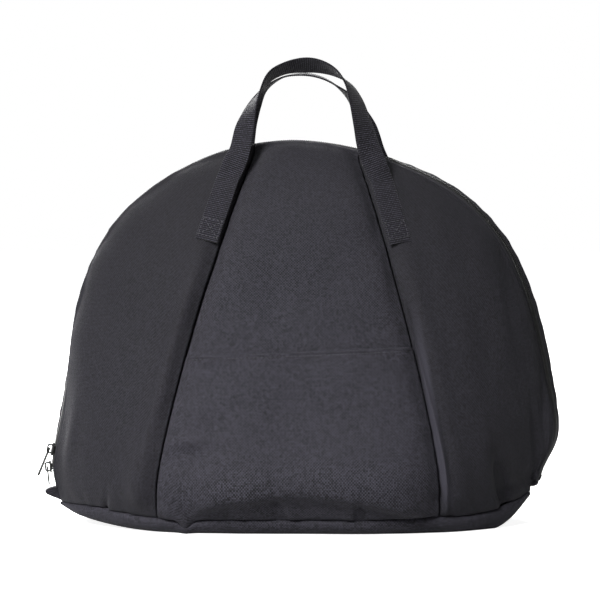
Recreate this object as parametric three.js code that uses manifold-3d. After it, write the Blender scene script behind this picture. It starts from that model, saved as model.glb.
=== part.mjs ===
// A soft motorcycle helmet bag, zipped shut and standing on its base. Millimetres, +Z up.
// X runs along the bag, left to right as seen from the front, and the front faces -Y.
// The origin is on the floor under the middle of the base.
// Each cloth panel is a thin wall of its own, lofted between the base seam and the zipped rim.

import * as THREE from "three";
import { mergeVertices } from "three/addons/utils/BufferGeometryUtils.js";
import Module from "manifold-3d";

const wasm = await Module();
wasm.setup();

// Bag sizes
const BAG_WIDTH = 427; // widest part of the zipped rim
const BAG_HEIGHT = 321; // floor to the top of the rim
const BASE_DEPTH = 212; // front base seam to back base seam
const BASE_SEAM_UP = 13.4; // height of the base seam at the middle
const BASE_FLAT_SHARE = 0.78; // part of the base's depth that lies flat
const BELLY = 12; // how far the panels swell past the base seam

// Cloth walls
const PANEL_WALL = 2.5; // outer cloth, thin foam and lining
const BASE_WALL = 3;
const POCKET_WALL = 1.6;
const POCKET_GAP = 0.5; // pocket cloth to the panel behind it
const SEW_GAP = 0.3; // between pieces that are sewn edge to edge

// Front pocket
const POCKET_HEIGHT = 148; // floor to the hem, at the middle
const HEM_SLANT = 8; // how much higher the hem's right end is
const POCKET_EDGE = 1.2; // pocket edge to panel seam

// Panel seams
const SEAM_DIP = 5; // depth of the valley along a panel seam
const SEAM_DIP_WIDTH = 9;
const ROLL_HEIGHT = 3.5; // the side panels roll proud beside the seam
const ROLL_WIDTH = 7;
const ROLL_OFFSET = 11; // seam to the crest of the roll
const ROLL_BELOW_HANDLE = 8; // the roll ends this far below the handle's sewn end
const ROLL_FADE = 42;

// Zip
const ZIP_BAND = 15; // clear width between the front and back panels
const CHAIN_WIDTH = 5.6;
const CHAIN_THICKNESS = 2.4;
const CHAIN_PROUD = 1.8; // chain above the band's surface
const TAPE_THICKNESS = 0.9;
const TAPE_LIFT = 0.2; // tape above the band's surface

// Zip sliders and pulls
const SLIDER_LENGTH = 10.5;
const SLIDER_WIDTH = 8.6;
const SLIDER_PLATE = 1.3;
const BAIL_LENGTH = 8;
const BAIL_HEIGHT = 4.2;
const BAIL_WIRE = 1.2;
const BAIL_WIDTH = 1.8;
const UPPER_PULL_LENGTH = 25.5;
const LOWER_PULL_LENGTH = 16;
const PULL_WIDTH = 5.6;
const PULL_THICKNESS = 1.1;
const PULL_EYE_LENGTH = 8.6;
const PULL_EYE_WIDTH = 3;
const PULL_BAR = 1.3; // the crossbar that runs through the bail
const PULL_PLAY = 0.25; // crossbar to the bail's outer end
const PULL_RAISED_EDGE = 1; // border round the blade's sunk face
const PULL_EYE_TO_PANEL = 0.1; // bridge between the eye and the sunk face
const PULL_SUNK = 0.25;
const SLIDER_SPACING = 14.6; // the two sliders' middles, along the zip
const PULL_TO_TAB = 0.5; // the lower pull's free end to the zip end tab
const UPPER_PULL_LEAN = 23; // degrees that the pull hangs away from plumb
const LOWER_PULL_LEAN = -6;

// Zip end tabs
const TAB_WIDTH = 13;
const TAB_LENGTH = 11;
const TAB_THICKNESS = 6;
const TAB_OVER_CHAIN = 1.8; // how far a tab laps over the chain's end
const TAB_LIFT = 0.3; // tab to chain

// Webbing handles
const WEBBING_WIDTH = 20;
const WEBBING_THICKNESS = 1.6;
const HANDLE_LIFT = 0.5; // webbing to panel where it is sewn down
const HANDLE_END_UP = 240.5; // height of the sewn ends
const HANDLE_LEAVES_UP = 290; // height at which the webbing lifts off the panel
const HANDLE_FROM_SEAM = 11; // webbing middle to panel seam
const FRONT_HANDLE_RISE = 62; // middle of the webbing above the rim's top
const BACK_HANDLE_RISE = 54.6;
const HANDLE_LEAN = 16; // the handles' tops stand this far from the middle plane

const HALF_WIDTH = BAG_WIDTH / 2;
const HALF_DEPTH = BASE_DEPTH / 2;
const [FRONT, BACK] = [-1, 1];

// The zipped rim as seen from the front, from its left end over the top to its right end.
// across is a share of half the width and up a share of the height.
const RIM_OUTLINE = [
  { across: -0.982, up: 0.088 },
  { across: -1.0, up: 0.148 },
  { across: -0.988, up: 0.204 },
  { across: -0.952, up: 0.32 },
  { across: -0.921, up: 0.476 },
  { across: -0.889, up: 0.581 },
  { across: -0.83, up: 0.686 },
  { across: -0.744, up: 0.79 },
  { across: -0.622, up: 0.869 },
  { across: -0.503, up: 0.921 },
  { across: -0.326, up: 0.974 },
  { across: -0.138, up: 0.997 },
  { across: 0, up: 1.0 },
  { across: 0.205, up: 0.981 },
  { across: 0.362, up: 0.948 },
  { across: 0.535, up: 0.895 },
  { across: 0.653, up: 0.843 },
  { across: 0.795, up: 0.738 },
  { across: 0.874, up: 0.633 },
  { across: 0.925, up: 0.528 },
  { across: 0.976, up: 0.371 },
  { across: 1.0, up: 0.254 },
  { across: 0.992, up: 0.212 },
  { across: 0.956, up: 0.162 },
  { across: 0.917, up: 0.11 },
];

// How the zip band faces along the rim: degrees that it turns towards the front.
const RIM_TILT = [
  { along: 0, tilt: 8 },
  { along: 0.06, tilt: 15 },
  { along: 0.13, tilt: 11 },
  { along: 0.22, tilt: -2 },
  { along: 0.36, tilt: -4 },
  { along: 0.5, tilt: 0 },
  { along: 0.58, tilt: 10 },
  { along: 0.68, tilt: 22 },
  { along: 0.8, tilt: 34 },
  { along: 0.88, tilt: 36 },
  { along: 0.95, tilt: 20 },
  { along: 1, tilt: 8 },
];

// The base seam from the left end to the right end, seen from above, and its height.
// out is a share of half the base depth and up a share of the seam's height at the middle.
const BASE_SEAM = [
  { across: -0.965, out: 0.068, up: 1.22 },
  { across: -0.9, out: 0.3, up: 1.26 },
  { across: -0.79, out: 0.55, up: 1.3 },
  { across: -0.56, out: 0.88, up: 0.96 },
  { across: -0.3, out: 0.985, up: 0.96 },
  { across: 0, out: 1.0, up: 1.0 },
  { across: 0.29, out: 0.985, up: 1.0 },
  { across: 0.51, out: 0.88, up: 1.14 },
  { across: 0.63, out: 0.74, up: 1.03 },
  { across: 0.79, out: 0.42, up: 1.42 },
  { across: 0.888, out: 0.07, up: 2.0 },
];

// Where the base's underside lifts off the floor towards each end.
// flat and end are shares of half the width, and rise is a share of the seam's height.
const KEEL = {
  left: { flat: 0.42, end: 0.965, rise: 1.07, power: 1.75 },
  right: { flat: 0.7, end: 0.888, rise: 1.68, power: 1.35 },
};

// The two panel seams: at numbers the panels, and a seam meets rim and base at the shares of
// half the width.
const SEAM_PLACES = [
  { at: 0, onRim: -1, onBase: -1 },
  { at: 1, onRim: -0.192, onBase: -0.546 },
  { at: 2, onRim: 0.217, onBase: 0.525 },
  { at: 3, onRim: 1, onBase: 1 },
];
const [LEFT_END, LEFT_SEAM, RIGHT_SEAM, RIGHT_END] = SEAM_PLACES.map((row) => row.at);

const PROFILE_ROUNDNESS = 1.18; // 1 is an ellipse in side view, and 2 is straight
const SEAM_BOW_LEFT = 1.5; // how late a seam leans inwards as it rises
const SEAM_BOW_RIGHT = 2.1;
const BELLY_UP = 0.1; // share of the height where the panels swell most

// Soft dents and swells of the side panels: centre and spread as shares of half the width
// and of the height, and height in millimetres, out of the bag where it is positive.
const SOFT_SHAPES = [
  { across: 0.8, up: 0.13, wide: 0.12, tall: 0.1, height: -5 },
  { across: -0.82, up: 0.3, wide: 0.12, tall: 0.16, height: 2.5 },
  { across: 0.72, up: 0.45, wide: 0.2, tall: 0.2, height: 2.5 },
  { across: 0, up: 0.62, wide: 0.35, tall: 0.12, height: -2.5 },
];

// The free stretch of each handle, from where it lifts off on the left to the same on the right.
// across, up and out are shares of the way between those two points and the handle's top.
// turn is how far the webbing's face has turned away from the bag's own face, in degrees.
const FRONT_ARCH = [
  { across: 0.04, up: 0.13, out: 0.13, turn: 12 },
  { across: 0.077, up: 0.255, out: 0.28, turn: 28 },
  { across: 0.107, up: 0.455, out: 0.5, turn: 38 },
  { across: 0.142, up: 0.606, out: 0.68, turn: 62 },
  { across: 0.2, up: 0.76, out: 0.84, turn: 88 },
  { across: 0.273, up: 0.904, out: 0.94, turn: 108 },
  { across: 0.363, up: 0.97, out: 1.0, turn: 117 },
  { across: 0.498, up: 1.0, out: 1.0, turn: 127 },
  { across: 0.614, up: 0.985, out: 1.0, turn: 121 },
  { across: 0.723, up: 0.93, out: 0.96, turn: 105 },
  { across: 0.805, up: 0.835, out: 0.86, turn: 80 },
  { across: 0.858, up: 0.696, out: 0.72, turn: 59 },
  { across: 0.903, up: 0.489, out: 0.5, turn: 42 },
  { across: 0.935, up: 0.277, out: 0.28, turn: 22 },
  { across: 0.968, up: 0.13, out: 0.13, turn: 9 },
];
const BACK_ARCH = [
  { across: 0.035, up: 0.13, out: 0.13, turn: 8 },
  { across: 0.065, up: 0.28, out: 0.3, turn: 16 },
  { across: 0.1, up: 0.52, out: 0.56, turn: 38 },
  { across: 0.15, up: 0.7, out: 0.78, turn: 60 },
  { across: 0.208, up: 0.84, out: 0.9, turn: 80 },
  { across: 0.28, up: 0.93, out: 0.96, turn: 88 },
  { across: 0.363, up: 0.985, out: 1.0, turn: 92 },
  { across: 0.5, up: 1.0, out: 1.0, turn: 95 },
  { across: 0.61, up: 0.985, out: 1.0, turn: 93 },
  { across: 0.704, up: 0.93, out: 0.96, turn: 88 },
  { across: 0.794, up: 0.83, out: 0.88, turn: 74 },
  { across: 0.86, up: 0.68, out: 0.76, turn: 56 },
  { across: 0.905, up: 0.5, out: 0.54, turn: 36 },
  { across: 0.94, up: 0.27, out: 0.3, turn: 14 },
  { across: 0.968, up: 0.13, out: 0.13, turn: 7 },
];

// How finely the cloth is divided
const SIDE_COLUMNS = 14;
const CENTRE_COLUMNS = 10;
const PANEL_ROWS = 17;
const SEWN_STEPS = 5;
const ARCH_STEPS = 30;

const lerp = THREE.MathUtils.lerp;
const radians = THREE.MathUtils.degToRad;
const clamp = THREE.MathUtils.clamp;
const vec = (x, y, z) => new THREE.Vector3(x, y, z);
const mix = (a, b, share) => a.clone().lerp(b, share);
const rising = (low, high, x) => THREE.MathUtils.smoothstep(x, low, high);
const falling = (low, high, x) => 1 - rising(low, high, x);

// Value of a named column between the rows of a table, by a smooth step from row to row.
function between(rows, key, column, x) {
  const next = rows.findIndex((row) => row[key] >= x);
  if (next <= 0) return rows[next === 0 ? 0 : rows.length - 1][column];
  const low = rows[next - 1];
  const high = rows[next];
  const share = (x - low[key]) / (high[key] - low[key]);
  return lerp(low[column], high[column], share * share * (3 - 2 * share));
}

// The same with straight steps.
function along(rows, key, column, x) {
  const next = Math.max(1, rows.findIndex((row) => row[key] >= x - 1e-9));
  const low = rows[next - 1];
  const high = rows[next];
  return lerp(low[column], high[column], (x - low[key]) / (high[key] - low[key]));
}

const rimCurve = new THREE.CatmullRomCurve3(
  RIM_OUTLINE.map((row) => vec(row.across * HALF_WIDTH, 0, row.up * BAG_HEIGHT)),
);
const baseCurve = new THREE.CatmullRomCurve3(
  BASE_SEAM.map((row) =>
    vec(row.across * HALF_WIDTH, row.out * HALF_DEPTH, row.up * BASE_SEAM_UP),
  ),
);

// The share of a curve's length at which it has passed a place across, in millimetres.
function shareAcross(curve, x) {
  let low = 0;
  let high = 1;
  for (let step = 0; step < 40; step++) {
    const middle = (low + high) / 2;
    if (curve.getPointAt(middle).x < x) low = middle;
    else high = middle;
  }
  return low;
}

// The panels' ends and seams as shares of the lengths of the rim and of the base seam.
const seamShares = SEAM_PLACES.map((row) => ({
  at: row.at,
  onRim: Math.abs(row.onRim) === 1 ? (row.onRim + 1) / 2 : shareAcross(rimCurve, row.onRim * HALF_WIDTH),
  onBase: Math.abs(row.onBase) === 1 ? (row.onBase + 1) / 2 : shareAcross(baseCurve, row.onBase * HALF_WIDTH),
}));
const rimShare = (at) => along(seamShares, "at", "onRim", at);
const baseShare = (at) => along(seamShares, "at", "onBase", at);

// The zip band's middle, its way across from front to back, and its outward face, at a share of the rim.
function rimFrame(share) {
  const onOutline = rimCurve.getPointAt(share);
  const tangent = rimCurve.getTangentAt(share);
  const outward = vec(-tangent.z, 0, tangent.x);
  const tilt = radians(between(RIM_TILT, "along", "tilt", share));
  const inset = (Math.abs(Math.sin(tilt)) * ZIP_BAND) / 2;
  const middle = onOutline.addScaledVector(outward, -inset);
  const across = outward.clone().multiplyScalar(Math.sin(tilt)).add(vec(0, Math.cos(tilt), 0));
  const face = outward.clone().multiplyScalar(Math.cos(tilt)).add(vec(0, -Math.sin(tilt), 0));
  return { middle, across, face, tangent };
}

function rimEdge(share, side) {
  const { middle, across } = rimFrame(share);
  return middle.addScaledVector(across, (side * ZIP_BAND) / 2);
}

function foot(share, side) {
  const point = baseCurve.getPointAt(share);
  point.y *= side;
  return point;
}

// The bag's outer face without its folds. at runs from 0 at the left end to 3 at the right end,
// with the panel seams at 1 and 2, and rise runs from the base seam at 0 to the rim at 1.
function plainPoint(at, rise, side) {
  const low = foot(baseShare(at), side);
  const high = rimEdge(rimShare(at), side);
  const angle = (rise * Math.PI) / 2;
  const up = Math.sin(angle) ** PROFILE_ROUNDNESS;
  const out = Math.max(0, Math.cos(angle)) ** PROFILE_ROUNDNESS;
  const bow = lerp(SEAM_BOW_LEFT, SEAM_BOW_RIGHT, clamp(at - LEFT_SEAM, 0, 1));
  return vec(
    lerp(low.x, high.x, up ** bow),
    lerp(high.y, low.y, out),
    lerp(low.z, high.z, up),
  );
}

const PROBE = 0.012;
const END_MARGIN = 0.12; // the ends take the normal of the cloth this far in from them

// The unit normal out of the bag.
function plainNormal(place, rise, side) {
  const at = clamp(place, LEFT_END + END_MARGIN, RIGHT_END - END_MARGIN);
  const left = plainPoint(at - PROBE, rise, side);
  const right = plainPoint(at + PROBE, rise, side);
  const below = plainPoint(at, Math.max(0, rise - PROBE), side);
  const above = plainPoint(at, Math.min(1, rise + PROBE), side);
  const normal = right.sub(left).cross(above.sub(below));
  return normal.multiplyScalar(-side).normalize();
}

// The rise at which the outer face has a given height.
function riseAt(at, height, side) {
  const low = plainPoint(at, 0, side).z;
  const high = plainPoint(at, 1, side).z;
  const up = clamp((height - low) / (high - low), 0, 1);
  return Math.asin(up ** (1 / PROFILE_ROUNDNESS)) / (Math.PI / 2);
}

const bump = (distance, width) => Math.exp(-((distance / width) ** 2));

// How far the cloth stands out of the plain face: the belly, the seam valleys and the soft shapes.
function relief(at, rise, side) {
  const point = plainPoint(at, rise, side);
  const up = point.z / BAG_HEIGHT;
  const raised = Math.max(0, (point.z - plainPoint(at, 0, side).z) / BAG_HEIGHT);
  const depthShare = Math.abs(plainPoint(at, 0, side).y) / HALF_DEPTH;
  const belly = BELLY * depthShare * (raised / BELLY_UP) * Math.exp(1 - raised / BELLY_UP);
  const fade = rising(0, 0.05, raised) * falling(0.88, 1, rise);
  let folds = 0;
  for (const seam of [LEFT_SEAM, RIGHT_SEAM]) {
    const away = point.x - plainPoint(seam, rise, side).x;
    const outer = seam === LEFT_SEAM ? -away : away;
    folds -= SEAM_DIP * bump(away, SEAM_DIP_WIDTH);
    const rollTop = HANDLE_END_UP - ROLL_BELOW_HANDLE;
    const belowHandle = falling(rollTop - ROLL_FADE, rollTop, point.z);
    folds += ROLL_HEIGHT * bump(outer - ROLL_OFFSET, ROLL_WIDTH) * belowHandle;
  }
  for (const shape of SOFT_SHAPES) {
    const across = (point.x / HALF_WIDTH - shape.across) / shape.wide;
    folds += shape.height * Math.exp(-(across ** 2) - ((up - shape.up) / shape.tall) ** 2);
  }
  return belly * falling(0.7, 1, rise) + folds * fade;
}

// A point of the cloth, a given depth below its outer face.
function clothPoint(at, rise, side, depth) {
  const normal = plainNormal(at, rise, side);
  return plainPoint(at, rise, side).addScaledVector(normal, relief(at, rise, side) - depth);
}

// Moves each edge of a grid of points inwards, so that pieces sewn edge to edge stay apart.
function drawIn(grid, distance) {
  const rows = grid.length - 1;
  const columns = grid[0].length - 1;
  const step = (point, towards) =>
    point.addScaledVector(towards.clone().sub(point).normalize(), distance);
  for (let j = 0; j <= columns; j++) {
    step(grid[0][j], grid[1][j]);
    step(grid[rows][j], grid[rows - 1][j]);
  }
  for (let i = 0; i <= rows; i++) {
    step(grid[i][0], grid[i][1]);
    step(grid[i][columns], grid[i][columns - 1]);
  }
}

// A closed wall between an outer and an inner grid.
function wallGeometry(outer, inner) {
  const rows = outer.length;
  const columns = outer[0].length;
  const points = [...outer.flat(), ...inner.flat()];
  const index = (layer, i, j) => layer * rows * columns + i * columns + j;
  const faces = [];
  const quad = (a, b, c, d) => faces.push(a, b, c, a, c, d);
  for (let i = 0; i < rows - 1; i++) {
    for (let j = 0; j < columns - 1; j++) {
      quad(index(0, i, j), index(0, i, j + 1), index(0, i + 1, j + 1), index(0, i + 1, j));
      quad(index(1, i, j), index(1, i + 1, j), index(1, i + 1, j + 1), index(1, i, j + 1));
    }
  }
  const top = rows - 1;
  for (let j = 0; j < columns - 1; j++) {
    quad(index(0, 0, j), index(1, 0, j), index(1, 0, j + 1), index(0, 0, j + 1));
    quad(index(0, top, j), index(0, top, j + 1), index(1, top, j + 1), index(1, top, j));
  }
  const last = columns - 1;
  for (let i = 0; i < rows - 1; i++) {
    quad(index(0, i, 0), index(0, i + 1, 0), index(1, i + 1, 0), index(1, i, 0));
    quad(index(0, i, last), index(1, i, last), index(1, i + 1, last), index(0, i + 1, last));
  }
  return meshGeometry(points, faces);
}

// Signed volume of a closed set of faces, positive where the faces look outwards.
function signedVolume(points, faces) {
  let volume = 0;
  for (let k = 0; k < faces.length; k += 3) {
    const [a, b, c] = [points[faces[k]], points[faces[k + 1]], points[faces[k + 2]]];
    volume += a.clone().cross(b).dot(c) / 6;
  }
  return volume;
}

function meshGeometry(points, faces) {
  const outwards = signedVolume(points, faces) > 0;
  const geometry = new THREE.BufferGeometry();
  const positions = points.flatMap((point) => [point.x, point.y, point.z]);
  geometry.setAttribute("position", new THREE.Float32BufferAttribute(positions, 3));
  geometry.setIndex(outwards ? faces : faces.toReversed());
  geometry.computeVertexNormals();
  return geometry;
}

// A bar through rings of points, one ring for each station, closed at both ends.
function loftGeometry(rings) {
  const sides = rings[0].length;
  const points = rings.flat();
  const faces = [];
  for (let i = 0; i < rings.length - 1; i++) {
    for (let j = 0; j < sides; j++) {
      const a = i * sides + j;
      const b = i * sides + ((j + 1) % sides);
      faces.push(a, b, b + sides, a, b + sides, a + sides);
    }
  }
  const last = (rings.length - 1) * sides;
  for (let j = 1; j < sides - 1; j++) {
    faces.push(0, j + 1, j, last, last + j, last + j + 1);
  }
  return meshGeometry(points, faces);
}

// Columns of a panel between two places, closer together towards both.
function columnPlaces(from, to, count) {
  const shares = Array.from({ length: count + 1 }, (_, j) => (1 - Math.cos((Math.PI * j) / count)) / 2);
  return shares.map((share) => lerp(from, to, share));
}

const leftPlaces = columnPlaces(LEFT_END, LEFT_SEAM, SIDE_COLUMNS);
const centrePlaces = columnPlaces(LEFT_SEAM, RIGHT_SEAM, CENTRE_COLUMNS);
const rightPlaces = columnPlaces(RIGHT_SEAM, RIGHT_END, SIDE_COLUMNS);
const allPlaces = [...leftPlaces, ...centrePlaces.slice(1), ...rightPlaces.slice(1)];
const rowRises = Array.from({ length: PANEL_ROWS + 1 }, (_, i) => (i / PANEL_ROWS) ** 1.2);

function panelGeometry(places, side) {
  const layer = (depth) => {
    const grid = rowRises.map((rise) => places.map((at) => clothPoint(at, rise, side, depth)));
    drawIn(grid, SEW_GAP / 2);
    return grid;
  };
  return wallGeometry(layer(0), layer(PANEL_WALL));
}

// The slip pocket: a second layer of cloth on the lower front, open along its hem.
function pocketGeometry() {
  const hemRise = (at) => {
    const slant = (at - LEFT_SEAM) / (RIGHT_SEAM - LEFT_SEAM) - 0.5;
    return riseAt(at, POCKET_HEIGHT + HEM_SLANT * slant, FRONT);
  };
  const lowest = Math.min(...centrePlaces.map(hemRise));
  const below = rowRises.filter((rise) => rise < lowest - 0.02);
  const layer = (height) => {
    const rowAt = (riseOf) => centrePlaces.map((at) => clothPoint(at, riseOf(at), FRONT, -height));
    const grid = [...below.map((rise) => rowAt(() => rise)), rowAt(hemRise)];
    drawIn(grid, POCKET_EDGE);
    return grid;
  };
  return wallGeometry(layer(POCKET_GAP + POCKET_WALL), layer(POCKET_GAP));
}

// Height of the base's underside above the floor.
function keelUp(x) {
  const end = x < 0 ? KEEL.left : KEEL.right;
  const share = (Math.abs(x) / HALF_WIDTH - end.flat) / (end.end - end.flat);
  return end.rise * BASE_SEAM_UP * Math.max(0, share) ** end.power;
}

// The base: flat under the bag, with its long edges rounded up to the front and back seams.
function baseGeometry() {
  const flat = BASE_FLAT_SHARE;
  const across = [-1, lerp(flat, -1, 0), -flat, 0, flat, 1];
  const stations = [-1, -lerp(flat, 1, 0.85), -lerp(flat, 1, 0.5), -flat, 0];
  const spans = [...stations, ...stations.slice(0, -1).reverse().map((v) => -v)];
  const outer = [];
  const inner = [];
  for (const at of allPlaces) {
    const edge = plainPoint(at, 0, BACK);
    const keel = keelUp(edge.x);
    const bottomWall = clamp(edge.z - keel - SEW_GAP, BASE_WALL / 2, BASE_WALL);
    const outerRow = [];
    const innerRow = [];
    for (const span of spans) {
      const side = span < 0 ? FRONT : BACK;
      const bend = clamp((Math.abs(span) - flat) / (1 - flat), 0, 1);
      const lift = 1 - Math.sqrt(1 - bend ** 2);
      const point = vec(edge.x, span * edge.y, lerp(keel, edge.z, lift));
      const inward = mix(vec(0, 0, 1), plainNormal(at, 0, side).negate(), lift).normalize();
      outerRow.push(point);
      const inside = point.clone().addScaledVector(inward, lerp(bottomWall, PANEL_WALL, lift));
      if (lift < 1) inside.z = Math.min(inside.z, edge.z - SEW_GAP);
      innerRow.push(inside);
    }
    outer.push(outerRow);
    inner.push(innerRow);
  }
  drawIn(outer, SEW_GAP / 2);
  drawIn(inner, SEW_GAP / 2);
  return wallGeometry(outer, inner);
}

// A bar along the whole rim, its section given as places across the zip band and out of it.
function rimBar(section) {
  const rings = allPlaces.map((at) => {
    const { middle, across, face } = rimFrame(rimShare(at));
    return section.map(([sideways, out]) =>
      middle.clone().addScaledVector(across, sideways).addScaledVector(face, out),
    );
  });
  return loftGeometry(rings);
}

// The zip's teeth as one bar along the rim.
function chainGeometry() {
  const half = CHAIN_WIDTH / 2;
  const top = CHAIN_PROUD;
  const bottom = CHAIN_PROUD - CHAIN_THICKNESS;
  const shoulder = (top + bottom) / 2;
  return rimBar([
    [-half, shoulder - 0.4],
    [-half, shoulder + 0.4],
    [-half * 0.6, top],
    [half * 0.6, top],
    [half, shoulder + 0.4],
    [half, shoulder - 0.4],
    [half * 0.6, bottom],
    [-half * 0.6, bottom],
  ]);
}

// The woven tape between the chain and one panel's edge.
function tapeGeometry(side) {
  const near = CHAIN_WIDTH / 2 + SEW_GAP;
  const far = ZIP_BAND / 2 - SEW_GAP / 2;
  const section = [
    [near, TAPE_LIFT],
    [far, TAPE_LIFT],
    [far, TAPE_LIFT + TAPE_THICKNESS],
    [near, TAPE_LIFT + TAPE_THICKNESS],
  ];
  return rimBar(section.map(([sideways, out]) => [side * sideways, out]));
}

// Webbing as a flat bar through stations that each hold a middle point and the face's direction.
function webbingGeometry(stations) {
  const curve = new THREE.CatmullRomCurve3(stations.map((station) => station.point));
  const faces = new THREE.CatmullRomCurve3(
    stations.map((station) => station.face),
    false,
    "catmullrom",
  );
  const rings = [];
  const steps = ARCH_STEPS + 2 * SEWN_STEPS;
  for (let i = 0; i <= steps; i++) {
    const t = i / steps;
    const tangent = curve.getTangent(t);
    const face = faces.getPoint(t).projectOnPlane(tangent).normalize();
    const sideways = tangent.clone().cross(face);
    const middle = curve.getPoint(t);
    rings.push(
      [
        [-1, -1],
        [1, -1],
        [1, 1],
        [-1, 1],
      ].map(([a, b]) =>
        middle
          .clone()
          .addScaledVector(sideways, (a * WEBBING_WIDTH) / 2)
          .addScaledVector(face, (b * WEBBING_THICKNESS) / 2),
      ),
    );
  }
  return loftGeometry(rings);
}

// Stations of the webbing where it is sewn down beside a panel seam, from its end upwards.
function sewnStations(seam, side) {
  const outer = seam === LEFT_SEAM ? -1 : 1;
  const low = riseAt(seam, HANDLE_END_UP, side);
  const high = riseAt(seam, HANDLE_LEAVES_UP, side);
  const stations = [];
  for (let i = 0; i <= SEWN_STEPS; i++) {
    const rise = lerp(low, high, i / SEWN_STEPS);
    const seamWay = plainPoint(seam, rise + PROBE, side)
      .sub(plainPoint(seam, rise - PROBE, side))
      .normalize();
    const sideWay = plainPoint(seam + outer * PROBE, rise, side)
      .sub(plainPoint(seam, rise, side))
      .divideScalar(PROBE);
    const at = seam + (outer * HANDLE_FROM_SEAM) / sideWay.cross(seamWay).length();
    const face = plainNormal(at, rise, side);
    const lift = HANDLE_LIFT + WEBBING_THICKNESS / 2;
    stations.push({ point: plainPoint(at, rise, side).addScaledVector(face, lift), face });
  }
  return stations;
}

// A carrying handle: sewn down beside both seams of one side, and arched over the rim.
function handleGeometry(side, arch, handleRise) {
  const left = sewnStations(LEFT_SEAM, side);
  const right = sewnStations(RIGHT_SEAM, side).reverse();
  const start = left[left.length - 1].point;
  const end = right[0].point;
  const top = BAG_HEIGHT + handleRise;
  const leaning = side * HANDLE_LEAN;
  const free = arch.map((row) => {
    const lift = mix(start, end, row.across);
    return {
      ...row,
      point: vec(lift.x, lerp(lift.y, leaning, row.out), lerp(lift.z, top, row.up)),
    };
  });
  const path = [start, ...free.map((row) => row.point), end];
  free.forEach((row, i) => {
    const tangent = path[i + 2].clone().sub(path[i]).normalize();
    const flat = vec(0, side, 0).projectOnPlane(tangent).normalize();
    const outward = tangent.clone().cross(vec(0, -1, 0)).projectOnPlane(flat).normalize();
    if (outward.dot(vec(tangent.z > 0 ? -1 : 1, 0, 1)) < 0) outward.negate();
    const turn = radians(row.turn);
    row.face = flat.multiplyScalar(Math.cos(turn)).addScaledVector(outward, Math.sin(turn));
  });
  return webbingGeometry([...left, ...free, ...right]);
}

// A solid of the boolean library from a closed geometry.
function solidOf(geometry) {
  const bare = new THREE.BufferGeometry();
  bare.setAttribute("position", geometry.getAttribute("position"));
  if (geometry.index) bare.setIndex(geometry.index);
  const merged = mergeVertices(bare, 1e-4);
  return new wasm.Manifold(
    new wasm.Mesh({
      numProp: 3,
      vertProperties: new Float32Array(merged.attributes.position.array),
      triVerts: new Uint32Array(merged.index.array),
    }),
  );
}

function geometryOf(solid) {
  const mesh = solid.getMesh();
  const geometry = new THREE.BufferGeometry();
  geometry.setAttribute("position", new THREE.BufferAttribute(mesh.vertProperties, 3));
  geometry.setIndex(new THREE.BufferAttribute(mesh.triVerts, 1));
  geometry.computeVertexNormals();
  return geometry;
}

// A flat plate with straight sides, its outline in x and y and its thickness upwards from z.
function plate(shape, z, thickness) {
  const geometry = new THREE.ExtrudeGeometry(shape, {
    depth: thickness,
    bevelEnabled: false,
    curveSegments: 3,
  });
  return geometry.translate(0, 0, z);
}

// A rectangle with round corners about the origin.
function roundedRectangle(width, height, radius) {
  const shape = new THREE.Shape();
  const x = width / 2 - radius;
  const y = height / 2 - radius;
  shape.absarc(x, y, radius, 0, Math.PI / 2);
  shape.absarc(-x, y, radius, Math.PI / 2, Math.PI);
  shape.absarc(-x, -y, radius, Math.PI, 1.5 * Math.PI);
  shape.absarc(x, -y, radius, 1.5 * Math.PI, 2 * Math.PI);
  return shape;
}

const PLATE_BOTTOM = CHAIN_PROUD + SEW_GAP;
const PLATE_TOP = PLATE_BOTTOM + SLIDER_PLATE;
const BAIL_MIDDLE = PLATE_TOP + (BAIL_HEIGHT - BAIL_WIRE) / 2;
const PIVOT_OUT = PLATE_TOP + BAIL_HEIGHT - BAIL_WIRE - PULL_BAR / 2 - PULL_PLAY;

// A slider in its own axes: x across the zip, y up along it and z out of the bag.
// Its plate rides over the chain, its flanges run down beside it, and its bail holds the pull.
function sliderGeometry() {
  const half = SLIDER_WIDTH / 2;
  const long = SLIDER_LENGTH / 2;
  const corners = [
    [-0.62, -1],
    [0.62, -1],
    [1, -0.55],
    [1, 0.6],
    [0.6, 1],
    [-0.6, 1],
    [-1, 0.6],
    [-1, -0.55],
  ].map(([x, y]) => new THREE.Vector2(x * half, y * long));
  let solid = solidOf(plate(new THREE.Shape(corners), PLATE_BOTTOM, SLIDER_PLATE));
  const inside = CHAIN_WIDTH / 2 + SEW_GAP;
  const flangeLow = TAPE_LIFT + TAPE_THICKNESS + SEW_GAP;
  const flangeHigh = PLATE_BOTTOM + SLIDER_PLATE / 2;
  for (const hand of [-1, 1]) {
    const flange = new THREE.BoxGeometry(half - inside, long, flangeHigh - flangeLow);
    flange.translate((hand * (half + inside)) / 2, 0, (flangeHigh + flangeLow) / 2);
    solid = solid.add(solidOf(flange));
  }
  const bail = roundedRectangle(BAIL_LENGTH, BAIL_HEIGHT + BAIL_WIRE, 1.8);
  bail.holes.push(roundedRectangle(BAIL_LENGTH - 2 * BAIL_WIRE, BAIL_HEIGHT - BAIL_WIRE, 0.9));
  const hoop = plate(bail, -BAIL_WIDTH / 2, BAIL_WIDTH);
  hoop.applyMatrix4(new THREE.Matrix4().makeBasis(vec(0, 1, 0), vec(0, 0, 1), vec(1, 0, 0)));
  hoop.translate(0, 0, BAIL_MIDDLE);
  return geometryOf(solid.add(solidOf(hoop)));
}

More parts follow.
